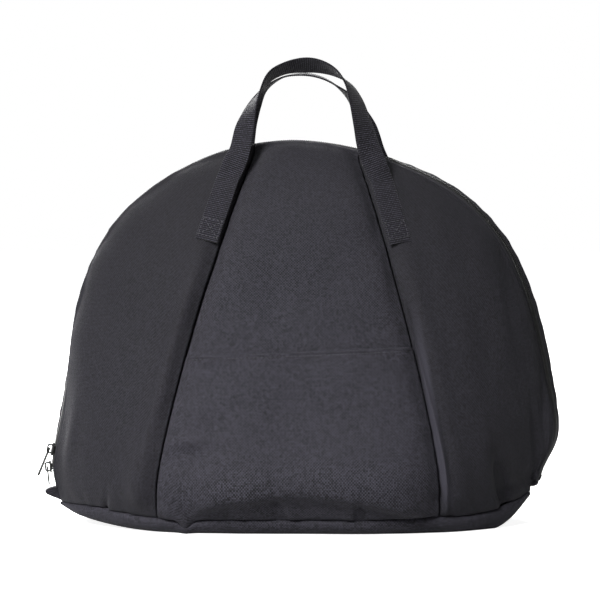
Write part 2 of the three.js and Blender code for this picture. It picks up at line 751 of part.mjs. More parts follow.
// A pull that hangs down the y axis from its pivot, flat in z: an eye for the bail, then a blade.
function pullGeometry(length) {
  const outline = roundedRectangle(PULL_WIDTH, length, 1.6);
  const eye = roundedRectangle(PULL_EYE_WIDTH, PULL_EYE_LENGTH, 0.8);
  const eyeMiddle = length / 2 - PULL_BAR - PULL_EYE_LENGTH / 2;
  const panelTop = eyeMiddle - PULL_EYE_LENGTH / 2 - PULL_EYE_TO_PANEL;
  const panelBottom = PULL_RAISED_EDGE - length / 2;
  const blade = solidOf(plate(outline, -PULL_THICKNESS / 2, PULL_THICKNESS));
  const hole = plate(eye, -PULL_THICKNESS, 2 * PULL_THICKNESS).translate(0, eyeMiddle, 0);
  const panelWidth = PULL_WIDTH - 2 * PULL_RAISED_EDGE;
  const panel = roundedRectangle(panelWidth, panelTop - panelBottom, 0.6);
  let solid = blade.subtract(solidOf(hole));
  for (const hand of [-1, 1]) {
    const sunk = plate(panel, 0, PULL_THICKNESS);
    const above = PULL_THICKNESS / 2 - PULL_SUNK;
    const low = hand > 0 ? above : -above - PULL_THICKNESS;
    sunk.translate(0, (panelTop + panelBottom) / 2, low);
    solid = solid.subtract(solidOf(sunk));
  }
  return geometryOf(solid).translate(0, PULL_BAR / 2 - length / 2, 0);
}

// Axes at a place of the rim: x towards the front, y up along the zip and z out of the bag.
function rimAxes(share) {
  const { middle, across, face, tangent } = rimFrame(share);
  const axes = new THREE.Matrix4().makeBasis(across.clone().negate(), tangent, face);
  return axes.setPosition(middle);
}

// The same axes at the pivot of a slider's pull, turned until the pull leans as given from plumb.
function pullAxes(share, lean) {
  const { middle, across, face, tangent } = rimFrame(share);
  const pivot = middle.clone().addScaledVector(face, PIVOT_OUT);
  const hangs = vec(-Math.sin(radians(lean)), 0, -Math.cos(radians(lean)));
  const up = hangs.negate().projectOnPlane(across).normalize();
  const hinge = across.clone().negate();
  return new THREE.Matrix4().makeBasis(hinge, up, hinge.clone().cross(up)).setPosition(pivot);
}

// A folded cloth tab over an end of the zip. onward is 1 where the zip runs on past the rim's end.
function tabGeometry(share, onward) {
  const section = roundedRectangle(TAB_LENGTH, TAB_THICKNESS, TAB_THICKNESS / 4);
  const tab = plate(section, -TAB_WIDTH / 2, TAB_WIDTH);
  tab.applyMatrix4(new THREE.Matrix4().makeBasis(vec(0, 1, 0), vec(0, 0, 1), vec(1, 0, 0)));
  const out = CHAIN_PROUD + TAB_LIFT + TAB_THICKNESS / 2;
  tab.translate(0, onward * (TAB_LENGTH / 2 - TAB_OVER_CHAIN), out);
  return tab.applyMatrix4(rimAxes(share));
}

function material(name, colour, roughness, metalness = 0) {
  const made = new THREE.MeshStandardMaterial({ color: colour, roughness, metalness });
  made.name = name;
  return made;
}

const panelCloth = material("panel_cloth", 0x2b2a30, 0.9);
const pocketCloth = material("pocket_cloth", 0x303036, 0.9);
const baseCloth = material("base_cloth", 0x26262b, 0.92);
const webbing = material("webbing", 0x232328, 0.88);
const tape = material("zip_tape", 0x1d1d20, 0.9);
const teeth = material("zip_teeth", 0x17171a, 0.45);
const metal = material("dark_metal", 0x6a6a6e, 0.38, 1);
const binding = material("tab_binding", 0x29292e, 0.88);

const group = new THREE.Group();
function addPiece(name, geometry, surface) {
  const mesh = new THREE.Mesh(geometry, surface);
  mesh.name = name;
  group.add(mesh);
}

for (const [name, side] of [
  ["front", FRONT],
  ["back", BACK],
]) {
  addPiece(`${name}_left_panel`, panelGeometry(leftPlaces, side), panelCloth);
  addPiece(`${name}_centre_panel`, panelGeometry(centrePlaces, side), panelCloth);
  addPiece(`${name}_right_panel`, panelGeometry(rightPlaces, side), panelCloth);
  addPiece(`zip_tape_${name}`, tapeGeometry(side), tape);
}
addPiece("front_pocket", pocketGeometry(), pocketCloth);
addPiece("base_panel", baseGeometry(), baseCloth);
addPiece("zip_chain", chainGeometry(), teeth);
addPiece("front_handle", handleGeometry(FRONT, FRONT_ARCH, FRONT_HANDLE_RISE), webbing);
addPiece("back_handle", handleGeometry(BACK, BACK_ARCH, BACK_HANDLE_RISE), webbing);

const lowerAlong = TAB_OVER_CHAIN + PULL_TO_TAB + LOWER_PULL_LENGTH - PULL_BAR / 2;
const upperAlong = lowerAlong + SLIDER_SPACING;
const SLIDERS = [
  { name: "upper", along: upperAlong, lean: UPPER_PULL_LEAN, pull: UPPER_PULL_LENGTH },
  { name: "lower", along: lowerAlong, lean: LOWER_PULL_LEAN, pull: LOWER_PULL_LENGTH },
].map((row) => ({ ...row, share: row.along / rimCurve.getLength() }));
for (const { name, share, lean, pull } of SLIDERS) {
  addPiece(`${name}_slider`, sliderGeometry().applyMatrix4(rimAxes(share)), metal);
  addPiece(`${name}_pull`, pullGeometry(pull).applyMatrix4(pullAxes(share, lean)), metal);
}
addPiece("left_zip_tab", tabGeometry(0, -1), binding);
addPiece("right_zip_tab", tabGeometry(1, 1), binding);

// The origin goes under the middle of the whole bag.
const box = new THREE.Box3().setFromObject(group, true);
const middle = box.getCenter(new THREE.Vector3());
for (const mesh of group.children) mesh.geometry.translate(-middle.x, -middle.y, -box.min.z);

// Where each pull turns, and the axis that it turns on.
group.userData.hinges = SLIDERS.map(({ name, share, lean }) => {
  const axes = pullAxes(share, lean);
  return {
    name: `${name}_pull`,
    at: new THREE.Vector3().setFromMatrixPosition(axes).sub(vec(middle.x, middle.y, box.min.z)),
    axis: new THREE.Vector3().setFromMatrixColumn(axes, 0),
  };
});

export default group;
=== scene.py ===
"""A padded motorcycle helmet bag, zipped shut and standing on its base. Metres, +Z up.

Every piece takes the place of the node of the same name in the frame, apart from the stitches
and the seam bindings. The cloth pieces lie within a few millimetres of the frame's faces, drawn
much finer, with their sewn edges, creases and gathers.
"""

import math

import bmesh
import bpy
import numpy as np
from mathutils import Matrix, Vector


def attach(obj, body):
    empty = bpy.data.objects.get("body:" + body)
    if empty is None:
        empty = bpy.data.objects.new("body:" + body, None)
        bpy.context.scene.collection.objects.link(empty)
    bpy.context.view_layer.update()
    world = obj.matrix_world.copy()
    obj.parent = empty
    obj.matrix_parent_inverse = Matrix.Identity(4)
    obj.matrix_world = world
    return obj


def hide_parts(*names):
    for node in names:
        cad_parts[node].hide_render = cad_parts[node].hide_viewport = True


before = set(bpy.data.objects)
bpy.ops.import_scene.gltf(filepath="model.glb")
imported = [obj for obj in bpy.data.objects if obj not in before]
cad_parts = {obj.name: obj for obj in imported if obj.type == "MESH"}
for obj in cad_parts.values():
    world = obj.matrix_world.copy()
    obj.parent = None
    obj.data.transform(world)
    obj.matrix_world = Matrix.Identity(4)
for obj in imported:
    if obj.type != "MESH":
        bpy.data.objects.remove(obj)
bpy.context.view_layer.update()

BAG = "bag"
FRONT, BACK = -1, 1
LEFT_END, LEFT_SEAM, RIGHT_SEAM, RIGHT_END = 0, 1, 2, 3

# The frame's own sizes
BAG_WIDTH = 0.427
BAG_HEIGHT = 0.321
BASE_DEPTH = 0.212
BASE_SEAM_UP = 0.0134
BASE_FLAT_SHARE = 0.78
BELLY = 0.012
BELLY_UP = 0.1
PANEL_WALL = 0.0025
BASE_WALL = 0.003
SEAM_DIP = 0.005
SEAM_DIP_WIDTH = 0.009
ROLL_BELOW_HANDLE = 0.008
ROLL_FADE = 0.042
POCKET_HEIGHT = 0.148
HEM_SLANT = 0.008
ZIP_BAND = 0.015
WEBBING_WIDTH = 0.020
WEBBING_THICKNESS = 0.0016
HANDLE_END_UP = 0.2405
HANDLE_LEAVES_UP = 0.290
HANDLE_FROM_SEAM = 0.011
FRONT_HANDLE_RISE = 0.062
BACK_HANDLE_RISE = 0.0546
HANDLE_LEAN = 0.016
PROFILE_ROUNDNESS = 1.18
SEAM_BOW_LEFT = 1.5
HALF_WIDTH = BAG_WIDTH / 2
HALF_DEPTH = BASE_DEPTH / 2

SEAM_BOW_RIGHT = 1.55  # lower than the frame's, because the photograph's seam is straighter

# The soft roll beside each seam: its height, its width and how far off the seam it runs
SEAM_ROLLS = {
    (FRONT, LEFT_SEAM): (0.0055, 0.0095, 0.0105),
    (FRONT, RIGHT_SEAM): (0.0010, 0.0070, 0.0150),
    (BACK, LEFT_SEAM): (0.0035, 0.0070, 0.0110),
    (BACK, RIGHT_SEAM): (0.0035, 0.0070, 0.0110),
}

# Sewn edges and trim
RIM_SOFTENING = 0.011  # a share of the rim's length
TILT_REACH = np.linspace(-0.03, 0.03, 13)  # the shares of the rim that a tilt is averaged over
SEAM_EDGE = 0.0015  # radii of a panel's turned edges, at a seam, the base and the rim
BASE_EDGE = 0.0014
RIM_EDGE = 0.0018
RIM_BEAD = 0.0012  # height of the swelling beside the rim
RIM_BEAD_IN = 0.003  # its width, and its distance from the edge
SEAM_OPEN = 0.0026  # how far a panel's edge stays off its seam, as a share of its width
SEAM_CLOSES = (0.85, 0.97)  # the rise over which that gap closes
BASE_LIP = 0.0020  # how far the base's edge swells past its seam
PINCH_ACROSS = -0.0938  # where the base's front seam is pulled down
PINCH_WIDTH = 0.0062
PINCH_DROP = 0.0068
PINCH_RISE = 0.07  # the rise over which the pinch fades
PHOTO_MIDDLE = 0.0052  # the tables of folds count across from this far left of the rim's middle
POCKET_CLOTH = 0.0015  # pocket's outer face above the panel
POCKET_EDGES = (0.0026, 0.0026, 0.0040, 0.0008)  # radii of its turned edges, left to hem
HEM_DOUBLE = 0.00035  # how much the doubled cloth of the hem stands up
HEM_STITCH = 0.0034  # how far below the hem's edge its stitches run
BEHIND_POCKET = 0.0026  # how far the panel lies back behind the pocket
BINDING_HALF_WIDTH = 0.006  # the bound seams inside the bag
BINDING_DEPTHS = (-0.0056, -0.0048)

# Slack between the sewn edges
PUCKER_WAVE = 0.013
PUCKER_REACH = 0.008
SLACK_WAVE = 0.065
SLACK_HEIGHT = 0.0012
FINE_SLACK_WAVE = 0.026
FINE_SLACK_HEIGHT = 0.00026
SLACK_MARGIN = 0.012

# The ridge of doubled cloth beside the front's right seam. Pairs are its top and its foot.
RIDGE_SHOWS = (0.010, 0.030)  # the heights between which it comes up out of the base
RIDGE_WIDENS = (0.060, 0.160)
RIDGE_ENDS = (0.17, 0.23)
RIDGE_WIDTH = (0.0022, 0.0056)
RIDGE_CREST = (0.0008, 0.0024)
RIDGE_BACK = 0.0022  # how far the crest falls away on its outer side
RIDGE_FILL = 0.6  # the share of the seam's dip that the doubled cloth fills
RIDGE_HIGHLIGHT_MIDDLE = (0.1140, 0.0953)  # a place on the line of the ridge's painted highlight, a pale strip
RIDGE_HIGHLIGHT_SLOPE = 0.18
RIDGE_HIGHLIGHT_REACH = 0.0050

# Threads and yarns
STITCH_PITCH = 0.0034
STITCH_LENGTH = 0.0025
THREAD_WIDTH = 0.0006
THREAD_HEIGHT = 0.0005
RIB_PITCH = 0.0017  # ribs of the webbing
BUNDLE_WIDTH = 0.0014  # its bundles of warp
CHEVRON_WIDTH = 0.0024  # the tape's herringbone
CHEVRON_RIB = 0.0007
TOOTH_PITCH = 0.0008  # turns of the zip's coil, left and right ones together

# The rim from the left end to the right one: shares of half the width and of the height
RIM_OUTLINE = [
    (-0.982, 0.088),
    (-1.0, 0.148),
    (-0.988, 0.204),
    (-0.952, 0.32),
    (-0.921, 0.476),
    (-0.889, 0.581),
    (-0.83, 0.686),
    (-0.744, 0.784),
    (-0.622, 0.862),
    (-0.503, 0.914),
    (-0.326, 0.966),
    (-0.138, 0.991),
    (0, 0.994),
    (0.205, 0.976),
    (0.362, 0.944),
    (0.535, 0.895),
    (0.653, 0.843),
    (0.795, 0.738),
    (0.874, 0.633),
    (0.925, 0.528),
    (0.976, 0.371),
    (1.0, 0.254),
    (0.992, 0.212),
    (0.956, 0.162),
    (0.917, 0.11),
]
# The zip band's lean forward, in degrees, at shares of the rim's length
RIM_TILT = [
    (0, 8),
    (0.06, 15),
    (0.13, 11),
    (0.22, -2),
    (0.36, -4),
    (0.5, 0),
    (0.58, 10),
    (0.68, 22),
    (0.8, 34),
    (0.88, 36),
    (0.95, 20),
    (1, 8),
]
# The base's seam: shares of half the width, of half the depth and of the seam's height
BASE_SEAM = [
    (-0.965, 0.068, 1.22),
    (-0.9, 0.3, 1.26),
    (-0.79, 0.55, 1.3),
    (-0.56, 0.88, 0.96),
    (-0.3, 0.985, 0.96),
    (0, 1.0, 1.0),
    (0.29, 0.985, 1.0),
    (0.51, 0.88, 1.14),
    (0.63, 0.74, 1.03),
    (0.79, 0.42, 1.42),
    (0.888, 0.07, 2.0),
]
# The base's upward curve at either end: where it starts and ends, its height and its power
KEEL_LEFT = (0.42, 0.965, 1.05, 2.9)
KEEL_RIGHT = (0.745, 0.888, 1.74, 1.45)
# Where the seams meet the rim and the base, as shares of half the width
SEAMS_ON_RIM = (-0.192, 0.217)
SEAMS_ON_BASE = (-0.546, 0.525)
# Swellings and hollows: place across and up, width and height as shares, and depth
SOFT_SHAPES = [
    (0.8, 0.13, 0.12, 0.1, -0.005),
    (-0.82, 0.3, 0.12, 0.16, 0.0025),
    (0.72, 0.45, 0.2, 0.2, 0.0025),
    (0, 0.62, 0.35, 0.12, -0.0025),
]
# The handles: shares of the way across, up and out to the lean, and the face's turn in degrees
FRONT_ARCH = [
    (0.04, 0.13, 0.13, 12),
    (0.077, 0.255, 0.28, 28),
    (0.107, 0.455, 0.5, 38),
    (0.142, 0.606, 0.68, 62),
    (0.2, 0.76, 0.84, 88),
    (0.273, 0.904, 0.94, 108),
    (0.363, 0.97, 1.0, 117),
    (0.498, 1.0, 1.0, 127),
    (0.602, 0.985, 1.0, 121),
    (0.700, 0.93, 0.96, 105),
    (0.778, 0.835, 0.86, 80),
    (0.829, 0.696, 0.72, 59),
    (0.874, 0.489, 0.5, 42),
    (0.915, 0.277, 0.28, 22),
    (0.958, 0.13, 0.13, 9),
]
BACK_ARCH = [
    (0.035, 0.13, 0.13, 8),
    (0.065, 0.28, 0.3, 16),
    (0.1, 0.52, 0.56, 38),
    (0.15, 0.7, 0.78, 60),
    (0.208, 0.84, 0.9, 80),
    (0.28, 0.93, 0.96, 88),
    (0.363, 0.985, 1.0, 92),
    (0.5, 1.0, 1.0, 95),
    (0.605, 0.962, 1.0, 93),
    (0.698, 0.885, 0.96, 88),
    (0.782, 0.780, 0.88, 74),
    (0.844, 0.645, 0.76, 56),
    (0.889, 0.5, 0.54, 36),
    (0.93, 0.27, 0.3, 14),
    (0.968, 0.13, 0.13, 7),
]


def lerp(a, b, share):
    return a + (b - a) * share


def smooth_step(low, high, x):
    share = np.clip((x - low) / (high - low), 0, 1)
    return share * share * (3 - 2 * share)


def bump(distance, width):
    return np.exp(-((distance / width) ** 2))


def unit(vectors):
    length = np.linalg.norm(vectors, axis=-1, keepdims=True)
    return vectors / np.maximum(length, 1e-12)


def mirrored(half):
    """Rows of place and size from the left edge to the right one."""
    return half + [(-place, size) for place, size in reversed(half)]


class SmoothCurve:
    """A curve through points. With even steps it ignores how far apart they are."""

    def __init__(self, points, even=False):
        points = np.asarray(points, float)
        run = np.vstack([2 * points[0] - points[1], points, 2 * points[-1] - points[-2]])
        gaps = np.linalg.norm(np.diff(run, axis=0), axis=1, keepdims=True) ** 0.5
        if even:
            gaps = np.ones_like(gaps)
        a, b, c, d = run[:-3], run[1:-2], run[2:-1], run[3:]
        before, between, after = gaps[:-2], gaps[1:-1], gaps[2:]
        start = (b - a) / before - (c - a) / (before + between) + (c - b) / between
        end = (c - b) / between - (d - b) / (between + after) + (d - c) / after
        start, end = start * between, end * between
        self.terms = [b, start, -3 * b + 3 * c - 2 * start - end, 2 * b - 2 * c + start + end]
        self.steps = np.linspace(0, 1, 201)
        hops = np.linalg.norm(np.diff(self.at(self.steps), axis=0), axis=1)
        self.lengths = np.concatenate([[0], np.cumsum(hops)])

    def at(self, step):
        spans = len(self.terms[0])
        run = np.clip(step, 0, 1) * spans
        index = np.minimum(run.astype(int), spans - 1)
        share = (run - index)[..., None]
        c0, c1, c2, c3 = [term[index] for term in self.terms]
        return c0 + share * (c1 + share * (c2 + share * c3))

    def step_at(self, share):
        return np.interp(share * self.lengths[-1], self.lengths, self.steps)

    def place(self, share):
        return self.at(self.step_at(share))

    def direction(self, share):
        step = self.step_at(share)
        return unit(self.at(step + 1e-4) - self.at(step - 1e-4))


def softened(curve, reach, count=140):
    """A curve without the small corners that a few points leave in it."""
    shares = np.linspace(0, 1, count + 1)
    places = curve.place(shares)
    weights = bump(shares[:, None] - shares, reach)
    room = np.minimum(shares, 1 - shares)[:, None]
    weights = weights * (np.abs(shares[:, None] - shares) <= room + 1e-9)
    weights = weights / weights.sum(axis=1, keepdims=True)
    return SmoothCurve(weights @ places)


rim_points = [(x * HALF_WIDTH, 0, up * BAG_HEIGHT) for x, up in RIM_OUTLINE]
rim_curve = softened(SmoothCurve(rim_points), RIM_SOFTENING)
base_curve = SmoothCurve(
    [(x * HALF_WIDTH, out * HALF_DEPTH, up * BASE_SEAM_UP) for x, out, up in BASE_SEAM]
)


def shares_across(curve, places):
    """The shares of a curve's length at which it passes places across the bag."""
    shares = np.linspace(0, 1, 4001)
    return np.interp(np.array(places) * HALF_WIDTH, curve.place(shares)[:, 0], shares)


PLACES_AT = [LEFT_END, LEFT_SEAM, RIGHT_SEAM, RIGHT_END]
SEAM_RIM_SHARES = [0, *shares_across(rim_curve, SEAMS_ON_RIM), 1]
SEAM_BASE_SHARES = [0, *shares_across(base_curve, SEAMS_ON_BASE), 1]


def rim_share(at):
    return np.interp(at, PLACES_AT, SEAM_RIM_SHARES)


def base_share(at):
    return np.interp(at, PLACES_AT, SEAM_BASE_SHARES)


def band_tilt(share):
    """How far the zip's band leans forward, in degrees, without the table's corners."""
    places, values = np.array(RIM_TILT, float).T
    return np.mean([np.interp(share + reach, places, values) for reach in TILT_REACH], axis=0)


def rim_frame(share):
    """The zip band's middle, its way from front to back, its outward face and its run."""
    run = rim_curve.direction(share)
    zero = np.zeros(run.shape[:-1])
    outward = np.stack([-run[..., 2], zero, run[..., 0]], axis=-1)
    tilt = np.radians(band_tilt(share))[..., None]
    middle = rim_curve.place(share) - outward * np.abs(np.sin(tilt)) * ZIP_BAND / 2
    deep = np.array([0, 1, 0])
    across = outward * np.sin(tilt) + deep * np.cos(tilt)
    face = outward * np.cos(tilt) - deep * np.sin(tilt)
    return middle, across, face, run


def plain_point(at, rise, side):
    """The bag's outer face without its folds. at is 0 at the left end and 3 at the right end,
    with the panel seams at 1 and 2, and rise is 0 on the base seam and 1 on the rim."""
    at, rise = np.broadcast_arrays(np.asarray(at, float), np.asarray(rise, float))
    low = base_curve.place(base_share(at)) * (1, side, 1)
    middle, across, _, _ = rim_frame(rim_share(at))
    high = middle + across * side * ZIP_BAND / 2
    angle = rise * math.pi / 2
    up = np.sin(angle) ** PROFILE_ROUNDNESS
    out = np.maximum(0, np.cos(angle)) ** PROFILE_ROUNDNESS
    bow = lerp(SEAM_BOW_LEFT, SEAM_BOW_RIGHT, np.clip(at - LEFT_SEAM, 0, 1))
    return np.stack(
        [
            lerp(low[..., 0], high[..., 0], up**bow),
            lerp(high[..., 1], low[..., 1], out),
            lerp(low[..., 2], high[..., 2], up),
        ],
        axis=-1,
    )


PROBE = 0.012  # the step that a normal is worked out over
END_MARGIN = 0.12  # nearer the ends than this, the normal is taken from here


def plain_normal(at, rise, side):
    at = np.clip(at, LEFT_END + END_MARGIN, RIGHT_END - END_MARGIN)
    sideways = plain_point(at + PROBE, rise, side) - plain_point(at - PROBE, rise, side)
    above = plain_point(at, np.minimum(1, rise + PROBE), side)
    upwards = above - plain_point(at, np.maximum(0, rise - PROBE), side)
    return unit(np.cross(sideways, upwards) * -side)


def rise_at(at, height, side):
    """The rise at which the outer face has a given height."""
    low = plain_point(at, 0, side)[..., 2]
    high = plain_point(at, 1, side)[..., 2]
    up = np.clip((height - low) / (high - low), 0, 1)
    return np.arcsin(up ** (1 / PROFILE_ROUNDNESS)) / (math.pi / 2)


def relief(at, rise, side):
    """How far the cloth stands out of the plain face, as in the frame."""
    point = plain_point(at, rise, side)
    foot = plain_point(at, 0, side)
    x, up = point[..., 0], point[..., 2] / BAG_HEIGHT
    raised = np.maximum(0, (point[..., 2] - foot[..., 2]) / BAG_HEIGHT)
    depth_share = np.abs(foot[..., 1]) / HALF_DEPTH
    belly = BELLY * depth_share * (raised / BELLY_UP) * np.exp(1 - raised / BELLY_UP)
    fade = smooth_step(0, 0.05, raised) * (1 - smooth_step(0.88, 1, rise))
    folds = 0
    for seam, hand in [(LEFT_SEAM, -1), (RIGHT_SEAM, 1)]:
        away = x - plain_point(seam, rise, side)[..., 0]
        roll_top = HANDLE_END_UP - ROLL_BELOW_HANDLE
        below_handle = 1 - smooth_step(roll_top - ROLL_FADE, roll_top, point[..., 2])
        high, wide, offset = SEAM_ROLLS[side, seam]
        folds = folds - SEAM_DIP * bump(away, SEAM_DIP_WIDTH)
        folds = folds + high * bump(hand * away - offset, wide) * below_handle
    for across, height_up, wide, tall, height in SOFT_SHAPES:
        far = ((x / HALF_WIDTH - across) / wide) ** 2 + ((up - height_up) / tall) ** 2
        folds = folds + height * np.exp(-far)
    return belly * (1 - smooth_step(0.7, 1, rise)) + folds * fade


def cloth_point(at, rise, side):
    point = plain_point(at, rise, side)
    lift = relief(at, rise, side)
    placed = point + plain_normal(at, rise, side) * lift[..., None]
    if side == FRONT:
        placed[..., 2] -= pinch(point[..., 0], rise)
    return placed


def pinch(x, rise):
    """How far the base's front seam is pulled down beside the left seam."""
    return PINCH_DROP * bump(x - PINCH_ACROSS, PINCH_WIDTH) * bump(rise, PINCH_RISE)


# The frame's origin is under the middle of the whole bag, and these functions' origin is under
# the middle of the rim.
SHIFT = np.array([0.0062018, 0.001046, 0.0])


def ripples(x, y, wave, seed):
    """A smooth uneven height between about -1 and 1, with bumps about a wave apart."""
    chance = np.random.default_rng(seed)
    total = 0
    for _ in range(14):
        heading = chance.uniform(0, 2 * math.pi)
        length = wave * chance.uniform(0.7, 1.6)
        phase = chance.uniform(0, 2 * math.pi)
        way = x * math.cos(heading) + y * math.sin(heading)
        total = total + np.sin(2 * math.pi * way / length + phase)
    return total / 5


def turned_edge(distance, radius=SEAM_EDGE):
    """How deep a rounded edge lies at a distance in from it."""
    share = np.clip(1 - distance / radius, 0, 1)
    return radius * (1 - np.sqrt(1 - share**2))


def edge_distances(points):
    """Distances of a grid's points from its first and last columns and rows."""
    across = np.linalg.norm(np.diff(points, axis=1), axis=-1)
    upwards = np.linalg.norm(np.diff(points, axis=0), axis=-1)
    left = np.pad(np.cumsum(across, axis=1), ((0, 0), (1, 0)))
    bottom = np.pad(np.cumsum(upwards, axis=0), ((1, 0), (0, 0)))
    return left, left[:, -1:] - left, bottom, bottom[-1:] - bottom


def grid_normals(points, side):
    sideways = np.gradient(points, axis=1)
    upwards = np.gradient(points, axis=0)
    return unit(np.cross(sideways, upwards) * -side)


def closer_at_ends(count, share=0.7):
    steps = np.linspace(0, 1, count + 1)
    return lerp(steps, (1 - np.cos(math.pi * steps)) / 2, share)


def mesh_piece(name, points, faces, uv, material):
    """A piece with a cloth map in metres, one pair of numbers for each point."""
    mesh = bpy.data.meshes.new(name)
    mesh.from_pydata((points + SHIFT).tolist(), [], faces.tolist())
    layer = mesh.uv_layers.new(name="cloth")
    corners = np.empty(len(mesh.loops), np.int32)
    mesh.loops.foreach_get("vertex_index", corners)
    layer.data.foreach_set("uv", uv[corners].astype(np.float32).ravel())
    mesh.polygons.foreach_set("use_smooth", np.ones(len(mesh.polygons), bool))
    mesh.materials.append(material)
    piece = bpy.data.objects.new(name, mesh)
    bpy.context.collection.objects.link(piece)
    return piece


def grid_faces(rows, columns, start=0):
    corner = start + np.arange(rows - 1)[:, None] * columns + np.arange(columns - 1)
    corner = corner.ravel()
    return np.stack([corner, corner + 1, corner + columns + 1, corner + columns], axis=1)


def signed_volume(points, faces):
    a = points[faces[:, 0]]
    first = np.cross(points[faces[:, 1]], points[faces[:, 2]])
    second = np.cross(points[faces[:, 2]], points[faces[:, 3]])
    return np.sum(a * (first + second)) / 6


def wall_piece(name, outer, inner, uv, material):
    """A closed wall between an outer and an inner grid of points."""
    rows, columns = outer.shape[:2]
    count = rows * columns
    index = np.arange(count).reshape(rows, columns)
    ring = np.concatenate([index[0], index[1:, -1], index[-1, -2::-1], index[-2:0:-1, 0]])
    following = np.roll(ring, -1)
    rim = np.stack([ring, ring + count, following + count, following], axis=1)
    faces = np.concatenate(
        [grid_faces(rows, columns), grid_faces(rows, columns, count)[:, ::-1], rim]
    )
    points = np.concatenate([outer.reshape(-1, 3), inner.reshape(-1, 3)])
    if signed_volume(points, faces) < 0:
        faces = faces[:, ::-1]
    flat = uv.reshape(-1, 2)
    return mesh_piece(name, points, faces, np.concatenate([flat, flat]), material)


def loft_piece(name, rings, uv, material):
    """A closed bar through rings of points, its ends closed by rows of faces across them."""
    count, sides = rings.shape[:2]
    points = rings.reshape(-1, 3)
    start = np.arange(count - 1)[:, None] * sides
    turn = np.arange(sides)
    following = (turn + 1) % sides
    quads = np.stack([start + turn, start + following, start + sides + following, start + sides + turn])
    faces = quads.reshape(4, -1).T
    last = (count - 1) * sides
    half = sides // 2
    caps = []
    for base, flip in [(0, True), (last, False)]:
        for k in range(half - 1):
            cap = [base + k, base + k + 1, base + sides - 2 - k, base + sides - 1 - k]
            caps.append(cap[::-1] if flip else cap)
    faces = np.concatenate([faces, np.array(caps)])
    if signed_volume(points, faces) < 0:
        faces = faces[:, ::-1]
    return mesh_piece(name, points, faces, uv.reshape(-1, 2), material)


def finish_piece(piece, node, body=BAG):
    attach(piece, body)
    if node:
        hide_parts(node)
    return piece


# Materials


class Value:
    """An output of a material's node. Sums and products of values add Math nodes."""

    def __init__(self, recipe, socket):
        self.recipe = recipe
        self.socket = socket

    def sum_up(self, operation, *parts):
        values = dict(enumerate(parts))
        return self.recipe.add("ShaderNodeMath", {"operation": operation}, values)

    def __add__(self, other):
        return self.sum_up("ADD", self, other)

    def __radd__(self, other):
        return self.sum_up("ADD", other, self)

    def __sub__(self, other):
        return self.sum_up("SUBTRACT", self, other)

    def __rsub__(self, other):
        return self.sum_up("SUBTRACT", other, self)

    def __mul__(self, other):
        return self.sum_up("MULTIPLY", self, other)

    def __rmul__(self, other):
        return self.sum_up("MULTIPLY", other, self)

    def __truediv__(self, other):
        return self.sum_up("DIVIDE", self, other)

    def __mod__(self, other):
        return self.sum_up("FLOORED_MODULO", self, other)

    def floor(self):
        return self.sum_up("FLOOR", self)

    def part(self):
        return self.sum_up("FRACT", self)

    def sine(self):
        return self.sum_up("SINE", self)

    def size(self):
        return self.sum_up("ABSOLUTE", self)

    def clamped(self):
        return self.recipe.add("ShaderNodeClamp", {}, {"Value": self})


class Recipe:
    """One material's nodes, ending in a Principled shader."""

    def __init__(self, name):
        self.material = bpy.data.materials.new(name)
        self.material.use_nodes = True
        self.nodes = self.material.node_tree.nodes
        self.links = self.material.node_tree.links
        self.nodes.clear()

    def add(self, kind, settings, values, output=0):
        """Adds a node, sets its settings first and then its sockets, and gives one output."""
        node = self.nodes.new(kind)
        for name, setting in settings.items():
            setattr(node, name, setting)
        for name, value in values.items():
            if isinstance(value, Value):
                self.links.new(value.socket, node.inputs[name])
            else:
                node.inputs[name].default_value = value
        return Value(self, node.outputs[output])

    def mixed(self, share, first, second):
        """A colour between two colours."""
        return self.add("ShaderNodeMix", {"data_type": "RGBA"}, {0: share, 6: first, 7: second}, 2)

    def cloth_map(self):
        """The places across and along the cloth, in metres."""
        place = self.add("ShaderNodeUVMap", {"uv_map": "cloth"}, {})
        return [self.add("ShaderNodeSeparateXYZ", {}, {0: place}, axis) for axis in (0, 1)]

    def place(self):
        """The place on the object, from the frame's origin, in metres."""
        return self.add("ShaderNodeTexCoord", {}, {}, 3)

    def spots(self, scale, detail=2.0, roughness=0.5):
        """An uneven pattern between 0 and 1 over the object, with scale spots a metre."""
        values = {"Vector": self.place(), "Scale": scale, "Detail": detail, "Roughness": roughness}
        return self.add("ShaderNodeTexNoise", {}, values)

    def bumped(self, height, distance, strength):
        values = {"Height": height, "Distance": distance, "Strength": strength}
        return self.add("ShaderNodeBump", {}, values)

    def finish(self, values):
        shader = self.add("ShaderNodeBsdfPrincipled", {}, values)
        surface = self.nodes.new("ShaderNodeOutputMaterial").inputs["Surface"]
        self.links.new(shader.socket, surface)
        return self.material


def grey(level):
    return (level, level, level, 1.0)


def charcoal(level):
    """A dark grey that leans to blue-violet, as dyed polyester does."""
    return (level, level * 0.95, level * 1.26, 1.0)


def ridge_highlight_share(recipe, up):
    """How much painted highlight the cloth gets: a narrow pale strip along the right seam's ridge."""
    across = recipe.add("ShaderNodeSeparateXYZ", {}, {0: recipe.place()}, 0)
    from_middle = (across - RIDGE_HIGHLIGHT_MIDDLE[0] + (up - RIDGE_HIGHLIGHT_MIDDLE[1]) * RIDGE_HIGHLIGHT_SLOPE).size()
    near = ((1 - from_middle / RIDGE_HIGHLIGHT_REACH) * 1.6).clamped()
    above_foot = ((up - 0.018) / 0.02).clamped()
    below_top = ((0.19 - up) / 0.06).clamped()
    return near * above_foot * below_top * 0.85


